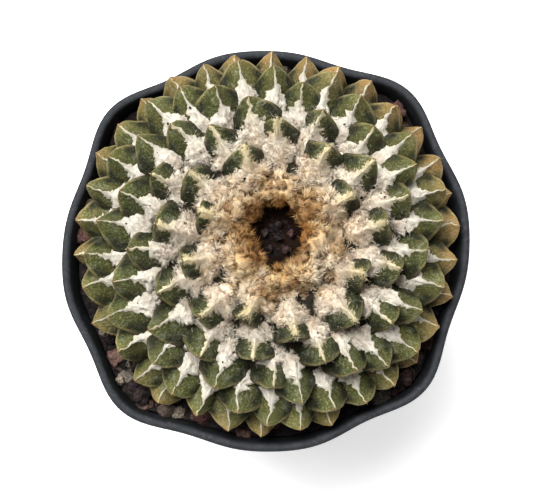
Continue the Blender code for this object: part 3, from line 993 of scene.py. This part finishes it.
def crest_arm(tree, given, share, across, youth, age, flare):
    """How far the wool reaches to each side."""
    thread = share.step(0.0, 0.14) * (0.06 + share * 0.36 + youth * 0.8)
    closing = share.step(CREST_END, 1.02) * 0.7 + 0.3
    side = across.math("SIGN")
    edge_place = combine(tree, share * 8.0, side * 5.0, age * 700.0)
    torn = 1.0 + noise_field(tree, edge_place, 1.0, 3.0).part(0) * given["Ragged"] * (2.0 - flare)
    spike_place = combine(tree, share * 21.0, side * 9.0, age * 900.0)
    spiky = 1.0 + noise_field(tree, spike_place, 1.0, 1.0).part(1).step(0.0, 0.5) * given["Spikes"]
    north = (position(tree).part(1) / WINDOW_REACH).clip(-1.0, 1.0)
    fuller = 1.0 + north * given["Window Side"]
    width = thread + flare * (given["Flare"] + youth * 0.5) * closing
    return width * torn.clip(0.35, 1.7) * spiky * fuller * MM


# %% Wool along the crests: its height and its folds
def crest_lift(tree, back, aside, share, across, upper, youth, flare):
    """How high the strip lies above the crest; its underside lies inside the tubercle."""
    narrowed = (1.0 - (back / SHOULDER_BACK).clip(0.0, 1.0)) ** OUTLINE_POWER
    wide = (1.0 - narrowed) * HALF_WIDTH * read(tree, "girth")
    deep = (1.0 - (back / -KEEL_CURVE).math("EXPONENT")) * DEPTH
    reach = (aside / (wide + 0.0001)).math("ABSOLUTE").clip(0.0, 1.2)
    fall = flank_drop(reach) * deep * -1.0
    bulge = (1.0 - across * across) * (share.step(0.0, 0.5) * 0.15 + youth * 0.85 + 0.2) * MM
    top = fall * (1.0 - flare * 0.5) + bulge + (flare * 0.2 - 0.05) * MM
    return top * upper + (fall - CREST_SINK) * (1.0 - upper)


def crest_folded(tree, given, shaped, share, across, youth, age, flare):
    """Folds and burrs, with painted light stored on the points: a fold's ridge is paler than its foot, and
    each patch's middle and inner end lie in painted shade.
    """
    fan_place = combine(tree, share * 3.5, across * 3.6, age * 700.0)
    ridge = 1.0 - noise_field(tree, fan_place, 1.0, 3.0).part(2).math("ABSOLUTE") * 2.6
    burr = noise_field(tree, position(tree), 1500.0, 2.0).part(1) * given["Burr"]
    raised = ridge * (flare + 0.04) * given["Folds"] + burr * (flare * 0.8 + youth * 0.4 + 0.1)
    folded = swell(tree, shaped, raised)
    # Painted light and shade: ridges, edges and the thread are lit, and the middle and the inner end of an
    # old patch are shaded.
    lit = ridge * 0.6 + across.math("ABSOLUTE") * 0.25 + (1.0 - flare) * 0.55 + 0.15
    lit = lit - share.step(0.85, 1.15) * (1.0 - youth) * 0.3
    lit = lit - (1.0 - across * across) * flare * (1.0 - youth) * 0.22
    return store(tree, folded, "tipward", lit.clip(0.0, 1.0))


def make_crest_tree():
    tree, given = geometry_tree("Crest wool", {
        **SPIRAL_INPUTS, "Ragged": 1.05, "Spikes": 0.7, "Waver": 0.9 * MM, "Flare": 2.5,
        "Window Side": 0.14, "Folds": 0.8 * MM, "Burr": 0.5 * MM, "Material": "NodeSocketMaterial",
    })
    points, rotation = spiral(tree, given)
    size = combine(tree, read(tree, "length"), 1.0, 1.0)
    real = realized(tree, instances_of(tree, given["Geometry"], points, rotation, size))
    share, across, upper, youth, age = (
        read(tree, name) for name in ("share", "across", "upper", "youth", "age")
    )
    back = share * read(tree, "length")
    flare = ((share - FLARE_START) / FLARE_SPAN).clip(0.0, 1.0) ** FLARE_POWER
    waver = noise_field(tree, combine(tree, share * 4.5, age * 500.0, 0.0), 1.0, 3.0).part(1)
    aside = across * crest_arm(tree, given, share, across, youth, age, flare)
    aside = aside + waver * given["Waver"] * share.step(0.02, 0.25)
    lift = crest_lift(tree, back, aside, share, across, upper, youth, flare)
    offset = read(tree, "side", "FLOAT_VECTOR").vector("MULTIPLY", aside)
    offset = offset.vector("ADD", read(tree, "above", "FLOAT_VECTOR").vector("MULTIPLY", lift))
    shaped = drift(tree, blunted(tree, move(tree, real, offset), back / MM))
    dressed(tree, crest_folded(tree, given, shaped, share, across, youth, age, flare), given["Material"])
    return tree


crest_wool = grow("crest_wool", make_crest_mesh(), make_crest_tree(), {"Material": wool_finish})

# %% [markdown]
# Behind the crest of each younger tubercle, in its axil, sits a tuft: a ball of wool on
# the newest, and less of it with age. One ball is set on those points of the spiral,
# squashed by age, and pushed out of true by noise.

# %% Tufts in the axils
FIRST_TUFT, LAST_TUFT = 2, 34      # the newest have no tubercle to be seen yet, the oldest are worn away
TUFT_BEHIND = -1.08     # a tuft's place, as a share of the crest's length


def make_ball(subdivisions):
    shape = bmesh.new()
    bmesh.ops.create_icosphere(shape, subdivisions=subdivisions, radius=1)
    mesh = from_bmesh("ball", shape)
    count = len(mesh.vertices)
    give(mesh, tipward=[0.5] * count, tint=[0.6] * count)
    mesh.shade_smooth()
    return mesh


def make_tuft_tree():
    tree, given = geometry_tree("Axil tufts", {
        **SPIRAL_INPUTS, "Old Length": 0.7, "Old Width": 0.8, "Old Height": 0.3, "Young Extra": 2.5,
        "Lumps": 0.8 * MM, "Material": "NodeSocketMaterial",
    })
    points, rotation = spiral(tree, given)
    length, youth = read(tree, "length"), read(tree, "youth")
    behind = turned(tree, combine(tree, length * TUFT_BEHIND, 0.0, (youth - 1.0) * MM), rotation)
    extra = youth * youth * given["Young Extra"]
    size = []
    for number, label in enumerate(("Old Length", "Old Width", "Old Height")):
        vary = random_value(tree, 0.82, 1.18, given["Seed"] + (20.0 + number))
        size.append((given[label] + extra) * vary * MM)
    balls = instances_of(tree, given["Geometry"], move(tree, points, behind), rotation, combine(tree, *size))
    real = realized(tree, balls)
    lumps = noise_field(tree, position(tree), 480.0, 3.0).part(0) * given["Lumps"]
    dressed(tree, drift(tree, swell(tree, real, lumps)), given["Material"])
    return tree


axil_tufts = grow("axil_tufts", make_ball(4), make_tuft_tree(),
                  {"Material": wool_finish, "First": FIRST_TUFT, "Last": LAST_TUFT})

# %% [markdown]
# Fibres make it wool. There are tens of thousands, so each is only a bent spindle of six
# triangles. A tree scatters them over the wool, drops those that a tubercle hides, and
# gathers them into locks: space is cut into cells, and the fibres of one cell lean the
# same way and draw together at their tips.

# %% One fibre, in a few bends
FIBRE_ROOT, FIBRE_WAIST = -0.06, 0.45       # shares of a fibre's length
BENDS = ((0.08, 0.05), (0.2, -0.08), (0.3, 0.1), (-0.15, 0.12), (0.4, -0.15))


def make_fibre_mesh(name, half_thickness, bend, curl):
    """A bent three-sided spindle of unit length along Z, its root sunk a little."""
    middle = (bend * FIBRE_WAIST * FIBRE_WAIST, curl * math.sin(math.pi * FIBRE_WAIST))
    waist = [around(turn, half_thickness, FIBRE_WAIST, middle) for turn in turns_of(3)]
    return lofted(name, [[(0, 0, FIBRE_ROOT)], waist, [(bend, 0, 1)]],
                  tipward=[0.0, FIBRE_WAIST, FIBRE_WAIST, FIBRE_WAIST, 1.0])


def make_fibre_kinds(name, half_thickness):
    """A hidden collection of fibres that a tree picks from."""
    kinds = bpy.data.collections.new(name)
    for number, (bend, curl) in enumerate(BENDS):
        kinds.objects.link(bpy.data.objects.new(
            f"{name}_{number}", make_fibre_mesh(f"{name}_{number}", half_thickness, bend, curl)
        ))
    return kinds


long_fibres = make_fibre_kinds("long_fibre", 0.034)
short_fibres = make_fibre_kinds("short_fibre", 0.05)
fine_fibres = make_fibre_kinds("fine_fibre", 0.018)

# %% Node tree: which fibres are seen, and where they point
RAY_LENGTH, RAY_LIFT = 20 * MM, 0.15 * MM
PLANT_MIDDLE = (CROWN.x, CROWN.y, 70 * MM)
LOWEST_FIBRE, MOST_DOWNWARD = 92 * MM, -0.3      # no fibre grows lower, or where a normal's Z is less
FULL_TURN = 6.283


def hidden_along(tree, skin, place, direction):
    """1 where a tubercle lies over a place, as seen from one direction."""
    ray = add_node(tree, "GeometryNodeRaycast", {
        "Target Geometry": skin, "Source Position": place, "Ray Direction": direction,
        "Ray Length": RAY_LENGTH,
    })
    return Field(ray.outputs["Is Hit"])


def unseen(tree, given, facing):
    """1 for fibres that a tubercle hides, and for those that are low or face down."""
    skin = add_node(tree, "GeometryNodeObjectInfo", {"Object": given["Skin"]}, transform_space="ORIGINAL")
    skin = Field(skin.outputs["Geometry"])
    lifted = position(tree).vector("ADD", facing.vector("MULTIPLY", RAY_LIFT))
    outward = position(tree).vector("SUBTRACT", PLANT_MIDDLE).vector("NORMALIZE")
    hidden = hidden_along(tree, skin, lifted, (0.0, 0.0, 1.0)) * hidden_along(tree, skin, lifted, outward)
    low = position(tree).part(2).math("LESS_THAN", LOWEST_FIBRE)
    low = low.math("MAXIMUM", facing.part(2).math("LESS_THAN", MOST_DOWNWARD))
    return hidden.math("MAXIMUM", low)


def fibre_turn(tree, given, facing, lock, middle):
    """A fibre's rotation: off the skin, leaning with its lock and in toward its middle."""
    lean = lock.vector("SUBTRACT", 0.5).vector("MULTIPLY", 2.0).vector("MULTIPLY", given["Lean"])
    inward = middle.vector("SUBTRACT", position(tree))
    inward = inward.vector("MULTIPLY", given["Gather"] / given["Length"])
    stray = random_value(tree, (-1.0, -1.0, -1.0), (1.0, 1.0, 1.0), given["Seed"] + 3.0, "FLOAT_VECTOR")
    aim = facing.vector("MULTIPLY", given["Upright"]).vector("ADD", lean).vector("ADD", inward)
    aim = aim.vector("ADD", stray.vector("MULTIPLY", given["Stray"]))
    spin = combine(tree, 0.0, 0.0, random_value(tree, 0.0, FULL_TURN, given["Seed"] + 5.0))
    turn = add_node(tree, "FunctionNodeAlignRotationToVector",
                    {"Rotation": as_rotation(tree, spin), "Vector": aim}, axis="Z")
    return Field(turn.outputs[0])


# %% Node tree: fibres on wool
def make_fibre_tree():
    tree, given = geometry_tree("Wool fibres", {
        "Skin": "NodeSocketObject", "Fibres": "NodeSocketCollection", "Material": "NodeSocketMaterial",
        "Per Square Millimetre": 4.0, "Nearest": 0.0, "Furthest": 60.0, "Length": 2.5 * MM,
        "Upright": 0.6, "Lean": 0.7, "Gather": 0.8, "Lock Size": 1.5 * MM, "Stray": 0.25,
        "Thread Trim": 0.3, "Seed": 1,
    })
    away, seed = from_crown(tree), given["Seed"]
    inside = away.math("GREATER_THAN", given["Nearest"]) * away.math("LESS_THAN", given["Furthest"])
    scatter = add_node(tree, "GeometryNodeDistributePointsOnFaces", {
        "Mesh": given["Geometry"], "Density": given["Per Square Millimetre"] * inside * 1e6, "Seed": seed,
    })
    points, off_skin = (Field(scatter.outputs[label]) for label in ("Points", "Normal"))
    points = store(tree, points, "facing", off_skin, "FLOAT_VECTOR")
    facing = read(tree, "facing", "FLOAT_VECTOR")
    seen = add_node(tree, "GeometryNodeDeleteGeometry",
                    {"Geometry": points, "Selection": unseen(tree, given, facing)}, domain="POINT")

    cell = add_node(tree, "ShaderNodeTexVoronoi",
                    {"Vector": position(tree), "Scale": 1.0 / given["Lock Size"]})
    lock, middle = Field(cell.outputs["Color"]), Field(cell.outputs["Position"])
    rotation = fibre_turn(tree, given, facing, lock, middle)
    size = random_value(tree, 0.75, 1.15, seed + 7.0) * (lock.part(1) * 0.9 + 0.55) * given["Length"]
    share = read(tree, "share")
    on_thread = share.step(0.0, 0.03) * share.step(0.75, 0.4)
    size = size * (1.0 - on_thread * given["Thread Trim"])

    # The noise that raises the crown ring's tufts, read again: round the crown, fibres on a tuft's top are
    # paler and those between tufts darker, as painted shade; elsewhere it only varies their tone.
    tuft_shading = noise_field(tree, position(tree), 230.0, 1.0).part(0).step(-0.35, 0.35)
    tinted = store(tree, Field(seen.outputs[0]), "tint", lock.part(0) * 0.65 + tuft_shading * 0.7 - 0.18)
    fibres = picked_of(tree, given["Fibres"], len(BENDS), tinted, rotation, size, seed + 9.0)
    dressed(tree, fibres, given["Material"])
    return tree


fibre_tree = make_fibre_tree()
print("fibre tree:", len(fibre_tree.nodes), "nodes")

# %% [markdown]
# The fibres differ by place: long and loose round the growing point, short and tangled on
# the young rows, and a low nap on the old felt, which weather has matted down.

# %% Fibres of the crown, of the young rows and of the old felt
def joined(name, *parts):
    """One mesh from several objects' meshes."""
    shape = bmesh.new()
    for part in parts:
        shape.from_mesh(part.data)
    return from_bmesh(name, shape)


def add_fibres(name, ground, kinds, **values):
    """Grows fibres on a mesh, with the tree's inputs as keywords."""
    return grow(name, ground.copy(), fibre_tree,
                {"Skin": tubercles, "Fibres": kinds, "Material": wool_finish, **spaced(values)})


wool_ground = joined("wool_ground", stem, crest_wool, axil_tufts)
felt_ground = joined("felt_ground", crest_wool, axil_tufts)
crown_fibres = add_fibres("crown_fibres", wool_ground, long_fibres, Per_Square_Millimetre=15.0, Nearest=6.8,
                          Furthest=15.5, Length=2.2 * MM, Lock_Size=1.8 * MM, Gather=1.1, Stray=0.28, Seed=1)
young_fibres = add_fibres("young_fibres", felt_ground, short_fibres, Per_Square_Millimetre=10.0, Nearest=15.5,
                          Furthest=28.0, Length=1.05 * MM, Lock_Size=1.0 * MM, Gather=0.6, Stray=0.7, Seed=2)
old_fibres = add_fibres("old_fibres", felt_ground, short_fibres, Per_Square_Millimetre=6.0, Nearest=28.0,
                        Furthest=60.0, Length=0.45 * MM, Upright=0.35, Lean=0.8, Lock_Size=0.8 * MM,
                        Stray=0.4, Seed=3)

# %% [markdown]
# A thin haze of stray hairs also clings to the flanks of some young tubercles.

# %% Haze on the flanks
haze = add_fibres("flank_haze", tubercles.data, fine_fibres, Per_Square_Millimetre=0.5, Nearest=15.0,
                  Furthest=32.0, Length=1.4 * MM, Upright=0.15, Lean=0.9, Lock_Size=3.0 * MM, Gather=0.0,
                  Stray=0.7, Seed=8)

# %% [markdown]
# Stones. Scoria is frozen foam, so each bit is a lump with hollows. A few kinds are
# drawn once, by pushing the corners of a ball in and out with noise, and a tree strews
# them: fine grit and then some coarser bits over the soil between the plant and the pot,
# and later the crumbs that wind and watering have left in the wool, mostly dark ones.

# %% Kinds of stone
STONE_KINDS = 7


def stone_mesh(name, seed, subdivisions=2, roughness=0.32):
    shape = bmesh.new()
    bmesh.ops.create_icosphere(shape, subdivisions=subdivisions, radius=1)
    draw = random.Random(seed)
    offset = Vector([draw.uniform(-50, 50) for _ in range(3)])
    squash = Vector((draw.uniform(0.8, 1.15), draw.uniform(0.75, 1.0), draw.uniform(0.65, 0.9)))
    for vert in shape.verts:
        lump = noise.noise(vert.co * 1.1 + offset) + 0.5 * noise.noise(vert.co * 2.7 + offset)
        vert.co *= 1 + roughness * 1.6 * lump
        vert.co *= squash
    return from_bmesh(name, shape)


stone_kinds = bpy.data.collections.new("stone_kinds")
for seed in range(STONE_KINDS):
    stone_kinds.objects.link(bpy.data.objects.new(f"stone_{seed}", stone_mesh(f"stone_{seed}", seed)))

# %% The soil's top
SOIL_TOP, SOIL_BANK, SOIL_SEGMENTS = 82 * MM, 1.8 * MM, 96
BANK_REACH, SOIL_INSETS = 9, (3.0, 5.0, 8.0, 12.0, 17.0, 23.0)      # mm in from the pot's outline
RIM_RADIUS, BASE_HALF, BASE_SQUARENESS = 50.1 * MM, 35 * MM, 5.0
RIM_WAVES = (       # waves round the lip, how far each pushes out, and the angle of a crest
    (2, 0.62 * MM, 31), (4, 0.91 * MM, 45), (8, 1.07 * MM, 4), (12, 0.44 * MM, 18),
)


def pot_radius(turn, height, inset=0.0):
    """The pot's outline: a rounded square at the base, a soft bulged one at the lip."""
    share = min(max(height / POT_HEIGHT, 0), 1)
    square = BASE_HALF / (
        abs(math.cos(turn)) ** BASE_SQUARENESS + abs(math.sin(turn)) ** BASE_SQUARENESS
    ) ** (1 / BASE_SQUARENESS)
    soft = RIM_RADIUS + sum(
        push * math.cos(waves * (turn - math.radians(crest))) for waves, push, crest in RIM_WAVES
    )
    return square + (soft - square) * share - inset


def make_soil_ground():
    """A ring of ground to strew stones on, a little higher against the wall."""
    points, faces = [], []
    for turn in turns_of(SOIL_SEGMENTS):
        for inset in SOIL_INSETS:
            height = SOIL_TOP + SOIL_BANK * max(0, 1 - inset / BANK_REACH)
            points.append(around(turn, pot_radius(turn, SOIL_TOP, inset * MM), height))
    count = len(SOIL_INSETS)
    for i in range(SOIL_SEGMENTS):
        for k in range(count - 1):
            a, b = i * count + k, ((i + 1) % SOIL_SEGMENTS) * count + k
            faces.append((a, b, b + 1, a + 1))
    return mesh_of("soil_ground", points, faces)


# %% Node tree: strewn stones
ANY_TURN = (6.28, 6.28, 6.28)


def make_stone_tree():
    tree, given = geometry_tree("Strewn stones", {
        "Stones": "NodeSocketCollection", "Material": "NodeSocketMaterial", "Per Square Centimetre": 8.0,
        "Smallest": 0.6 * MM, "Largest": 1.9 * MM, "Bury": -0.1, "Palest": 1.0, "Seed": 4,
    })
    seed = given["Seed"]
    scatter = add_node(tree, "GeometryNodeDistributePointsOnFaces", {
        "Mesh": given["Geometry"], "Density": given["Per Square Centimetre"] * 1e4, "Seed": seed,
    })
    draw = random_value(tree, 0.0, 1.0, seed + 1.0)
    size = given["Smallest"] + (given["Largest"] - given["Smallest"]) * draw * draw
    tone = random_value(tree, 0.0, given["Palest"], seed + 2.0)
    points = store(tree, Field(scatter.outputs["Points"]), "tone", tone)
    raised = move(tree, points, combine(tree, 0.0, 0.0, size * given["Bury"]))
    rotation = as_rotation(tree, random_value(tree, (0.0, 0.0, 0.0), ANY_TURN, seed + 6.0, "FLOAT_VECTOR"))
    stones = picked_of(tree, given["Stones"], STONE_KINDS, raised, rotation, size, seed + 8.0)
    dressed(tree, stones, given["Material"])
    return tree


stone_tree = make_stone_tree()
print("stone tree:", len(stone_tree.nodes), "nodes")

# %% Grit on the soil, and crumbs in the wool
def strew(name, ground, **values):
    """Strews stones on a mesh, with the tree's inputs as keywords."""
    return grow(name, ground, stone_tree,
                {"Stones": stone_kinds, "Material": grit_finish, **spaced(values)})


grit = strew("grit", make_soil_ground(), Per_Square_Centimetre=11.0, Smallest=0.8 * MM,
             Largest=3.6 * MM, Palest=0.95)
coarse_grit = strew("coarse_grit", make_soil_ground(), Per_Square_Centimetre=1.5, Smallest=1.6 * MM,
                    Largest=3.1 * MM, Bury=0.1, Palest=0.72, Seed=9)
crumbs = strew("crumbs", felt_ground.copy(), Per_Square_Centimetre=1.8, Smallest=0.15 * MM,
               Largest=0.5 * MM, Bury=0.3, Seed=12)

# %% [markdown]
# Some stones have a place of their own: the six in the crown's hollow, where the solids
# have theirs, and the large ones that lie against the pot's wall. Each is one fine ball
# with lumps, stretched to fill its own box, so none can come through the wall. Small
# dark crumbs then cover the hollow's floor between them.

# %% Stones with a place of their own
PLACED_SEED, PLACED_SUBDIVISIONS, PLACED_ROUGHNESS = 20, 3, 0.42
DARK_STEP = 0.065       # the crown's stones are all dark, each a little less than the last


def set_stones(name, places):
    """One mesh of stones from (centre, half size, tone) of each."""
    shape = bmesh.new()
    tones = []
    for number, (centre, half, tone) in enumerate(places, 1):
        before = len(shape.verts)
        shape.from_mesh(stone_mesh(f"{name}_{number}", PLACED_SEED + number, PLACED_SUBDIVISIONS,
                                   PLACED_ROUGHNESS))
        shape.verts.ensure_lookup_table()
        added = shape.verts[before:]
        reach = [max(abs(vert.co[axis]) for vert in added) for axis in range(3)]
        for vert in added:
            vert.co = centre + Vector(a * b / c for a, b, c in zip(vert.co, half, reach))
        tones += [tone] * len(added)
    mesh = from_bmesh(name, shape)
    give(mesh, tone=tones)
    mesh.shade_smooth()
    mesh.materials.append(grit_finish)
    print(f"{name}: {len(places)} stones, {triangles(mesh)} triangles")
    return add_object(name, mesh)


crown_boxes = [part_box(f"crown_stone_{number}") for number in range(1, 7)]
crown_scoria = set_stones("crown_scoria", [
    ((low + high) / 2, (high - low) / 2, DARK_STEP * number)
    for number, (low, high) in enumerate(crown_boxes, 1)
])
WALL_STONES = (     # direction in degrees, height of the middle and half size in mm, and tone
    (47, 86.2, 2.8, 0.5), (229, 84.6, 2.9, 0.2), (216, 84.8, 2.5, 0.68), (222, 85.3, 1.4, 0.97),
    (56, 84.5, 2.4, 0.3), (-42, 84.2, 2.4, 0.45),
)
WALL_GAP = 2.3 * MM
HOLLOW_HALF, HOLLOW_HEIGHT = 4.6 * MM, 97.5 * MM


def wall_stone(degrees, height, size, tone):
    turn = math.radians(degrees)
    reach = pot_radius(turn, height * MM, WALL_GAP) - size * MM
    return Vector(around(turn, reach, height * MM)), Vector((size, size, size)) * MM, tone


wall_scoria = set_stones("wall_scoria", [wall_stone(*stone) for stone in WALL_STONES])
hollow_floor = mesh_of("hollow_floor", [
    (CROWN.x + x * HOLLOW_HALF, CROWN.y + y * HOLLOW_HALF, HOLLOW_HEIGHT)
    for x, y in ((-1, -1), (1, -1), (1, 1), (-1, 1))
], [(0, 1, 2, 3)])
crown_crumbs = strew("crown_crumbs", hollow_floor, Per_Square_Centimetre=110.0, Smallest=0.35 * MM,
                     Largest=1.1 * MM, Bury=-0.3, Palest=0.05, Seed=31)

# %% [markdown]
# The pot. The solid's outline is right but has only 48 corners, so the visible pot is
# drawn again from the same formula with four times as many, and with a rounded lip. The
# soft wall bulges in slow waves, which are part of that formula. Four drain holes are
# cut from its floor.

# %% Pot
WALL, FLOOR, BASE_ROUNDING = 1.2 * MM, 1.6 * MM, 2.2 * MM
BAND_HEIGHT, BAND_STEP, LIP_WIDTH = 9 * MM, 0.9 * MM, 2.0 * MM
BASE_STEPS, LIP_STEPS, LIP_ROUNDING = 5, 8, 0.8
DRAIN_HOLES, DRAIN_HOLE_RADIUS, DRAIN_HOLE_REACH = 4, 4 * MM, 0.66
POT_SEGMENTS, SHARP_ANGLE = 192, 40


def pot_profile():
    """(height, inset) of each ring: up the outside, over the lip and down the inside."""
    band_low = POT_HEIGHT - BAND_HEIGHT
    edge = BASE_ROUNDING
    yield 0, edge
    for k in range(1, BASE_STEPS + 1):
        bend = math.pi / 2 * k / BASE_STEPS
        yield edge * (1 - math.cos(bend)), edge - (edge - BAND_STEP) * math.sin(bend)
    for share in (0.2, 0.4, 0.6, 0.8):
        yield edge + (band_low - edge) * share, BAND_STEP
    yield band_low - 0.3 * MM, BAND_STEP
    yield band_low, BAND_STEP * 0.95
    yield band_low + 0.35 * MM, 0.35 * MM
    yield band_low + 0.9 * MM, 0.05 * MM
    yield band_low + 2 * MM, 0
    yield POT_HEIGHT - 3 * MM, 0
    middle = LIP_WIDTH / 2
    for k in range(LIP_STEPS + 1):
        bend = math.pi * k / LIP_STEPS
        yield POT_HEIGHT - middle * LIP_ROUNDING * (1 - math.sin(bend)), middle - middle * math.cos(bend)
    yield POT_HEIGHT - 3 * MM, LIP_WIDTH + 0.05 * MM
    yield band_low + 2 * MM, LIP_WIDTH + 0.2 * MM
    yield band_low - 1 * MM, BAND_STEP + WALL
    for share in (0.75, 0.5, 0.25):
        yield FLOOR + 1.5 * MM + (band_low - FLOOR) * share, BAND_STEP + WALL
    yield FLOOR + 1.5 * MM, BAND_STEP + WALL
    yield FLOOR, edge + WALL


def make_drill():
    """The four cylinders that are cut from the pot's floor."""
    drill = bmesh.new()
    for i in range(DRAIN_HOLES):
        angle = math.radians(45 + 90 * i)
        made = bmesh.ops.create_cone(drill, cap_ends=True, segments=32, radius1=DRAIN_HOLE_RADIUS,
                                     radius2=DRAIN_HOLE_RADIUS, depth=8 * MM)
        place = around(angle, DRAIN_HOLE_REACH * pot_radius(angle, 0), 0)
        bmesh.ops.translate(drill, verts=made["verts"], vec=place)
    return add_object("drill", from_bmesh("drill", drill))


def make_pot():
    rings = [[(0, 0, 0)]]
    for height, inset in pot_profile():
        rings.append([around(turn, pot_radius(turn, height, inset), height)
                      for turn in turns_of(POT_SEGMENTS)])
    rings.append([(0, 0, FLOOR)])
    pot = add_object("pot_shell", lofted("pot_shell", rings))
    cutter = make_drill()
    cut = pot.modifiers.new("drain holes", "BOOLEAN")
    cut.operation, cut.object, cut.solver = "DIFFERENCE", cutter, "EXACT"
    graph = bpy.context.evaluated_depsgraph_get()
    finished = bpy.data.meshes.new_from_object(pot.evaluated_get(graph), depsgraph=graph)
    pot.modifiers.clear()
    pot.data = finished
    bpy.data.objects.remove(cutter)
    finished.materials.clear()
    finished.materials.append(plastic_finish)
    finished.shade_smooth()
    finished.set_sharp_from_angle(angle=math.radians(SHARP_ANGLE))
    print("pot:", triangles(finished), "triangles")
    return pot


pot_shell = make_pot()

# %% [markdown]
# The soil's solid has the right shape, so it stays and only gets the grit's finish. It
# fills the pot and shows through the drain holes.

# %% Soil
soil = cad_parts["soil"]
for slot in soil.material_slots:
    slot.material = grit_finish

# %% [markdown]
# A plain pale floor, soft light from above and from the picture's top left, and a camera
# nearly straight above, as for the photograph. The floor glows a little, so the pot's
# shadow on it stays soft.

# %% Floor and light
FLOOR_HALF, FLOOR_GLOW, SKY_STRENGTH = 2.0, 0.42, 0.35
LIT_POINT = (0, 0, 0.09)


def make_floor():
    floor = Finish("studio floor", 0.8, Emission_Color=(1, 1, 1, 1), Emission_Strength=FLOOR_GLOW)
    shade = floor.mottle(3.0, softness=1.0)
    floor.colour(floor.mix(shade, (248, 248, 248), (250, 250, 250)))
    corners = [(x * FLOOR_HALF, y * FLOOR_HALF, 0) for x, y in ((-1, -1), (1, -1), (1, 1), (-1, 1))]
    mesh = mesh_of("floor", corners, [(0, 1, 2, 3)])
    mesh.materials.append(floor.done())
    made = add_object("floor", mesh)


def make_sky():
    world = bpy.data.worlds.new("studio")
    world.use_nodes = True
    sky = world.node_tree.nodes["Background"]
    sky.inputs["Color"].default_value = (1, 1, 1, 1)
    sky.inputs["Strength"].default_value = SKY_STRENGTH
    bpy.context.scene.world = world


def add_lamp(name, power, size, place):
    data = bpy.data.lights.new(name, "AREA")
    data.energy, data.size = power, size
    lamp = add_object(name, data)
    lamp.location = place
    lamp.rotation_euler = (Vector(LIT_POINT) - Vector(place)).to_track_quat("-Z", "Y").to_euler()


make_floor()
make_sky()
add_lamp("window", power=16.1, size=0.5, place=(-0.2, 0.26, 0.82))
add_lamp("fill", power=0.8, size=0.6, place=(0.6, -0.3, 0.7))
bpy.context.scene.view_settings.view_transform = "Standard"

# %% Camera
SEEN_POINT = Vector((0.13 * MM, -0.6 * MM, POT_HEIGHT))
CAMERA_DISTANCE, CAMERA_ELEVATION = 350 * MM, math.radians(85)
SEEN_WIDTH = 130.3 * MM     # at the height of the lip


def make_camera():
    data = bpy.data.cameras.new("camera")
    data.sensor_width = 36
    data.lens = data.sensor_width * CAMERA_DISTANCE / SEEN_WIDTH
    data.clip_start = 0.01
    camera = add_object("camera", data)
    back = Vector((0, -math.cos(CAMERA_ELEVATION), math.sin(CAMERA_ELEVATION)))
    camera.location = SEEN_POINT + back * CAMERA_DISTANCE
    camera.rotation_euler = (-back).to_track_quat("-Z", "Y").to_euler()
    bpy.context.scene.camera = camera
    print("camera: lens", round(data.lens, 1), "mm at", [round(v, 3) for v in camera.location])


make_camera()

# %% [markdown]
# Last, each piece is set to ride on the root body, and the solids that these pieces
# replace are hidden.

# %% Tie the pieces to the frame
for piece, slot in (
    (tubercles, "cactus_skin"), (stem, "cactus_skin"), (crest_wool, "cactus_wool"),
    (axil_tufts, "cactus_wool"), (crown_fibres, "cactus_wool"), (young_fibres, "cactus_wool"),
    (old_fibres, "cactus_wool"), (haze, "cactus_wool"), (grit, "grit"), (coarse_grit, "grit"),
    (crumbs, "grit"), (wall_scoria, "grit"), (crown_scoria, "scoria"), (crown_crumbs, "scoria"),
    (pot_shell, "pot_plastic"),
):
    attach(piece, "root")
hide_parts("cactus")
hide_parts("crown_wool")
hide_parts(*[f"crown_stone_{number}" for number in range(1, 7)])
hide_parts("pot")
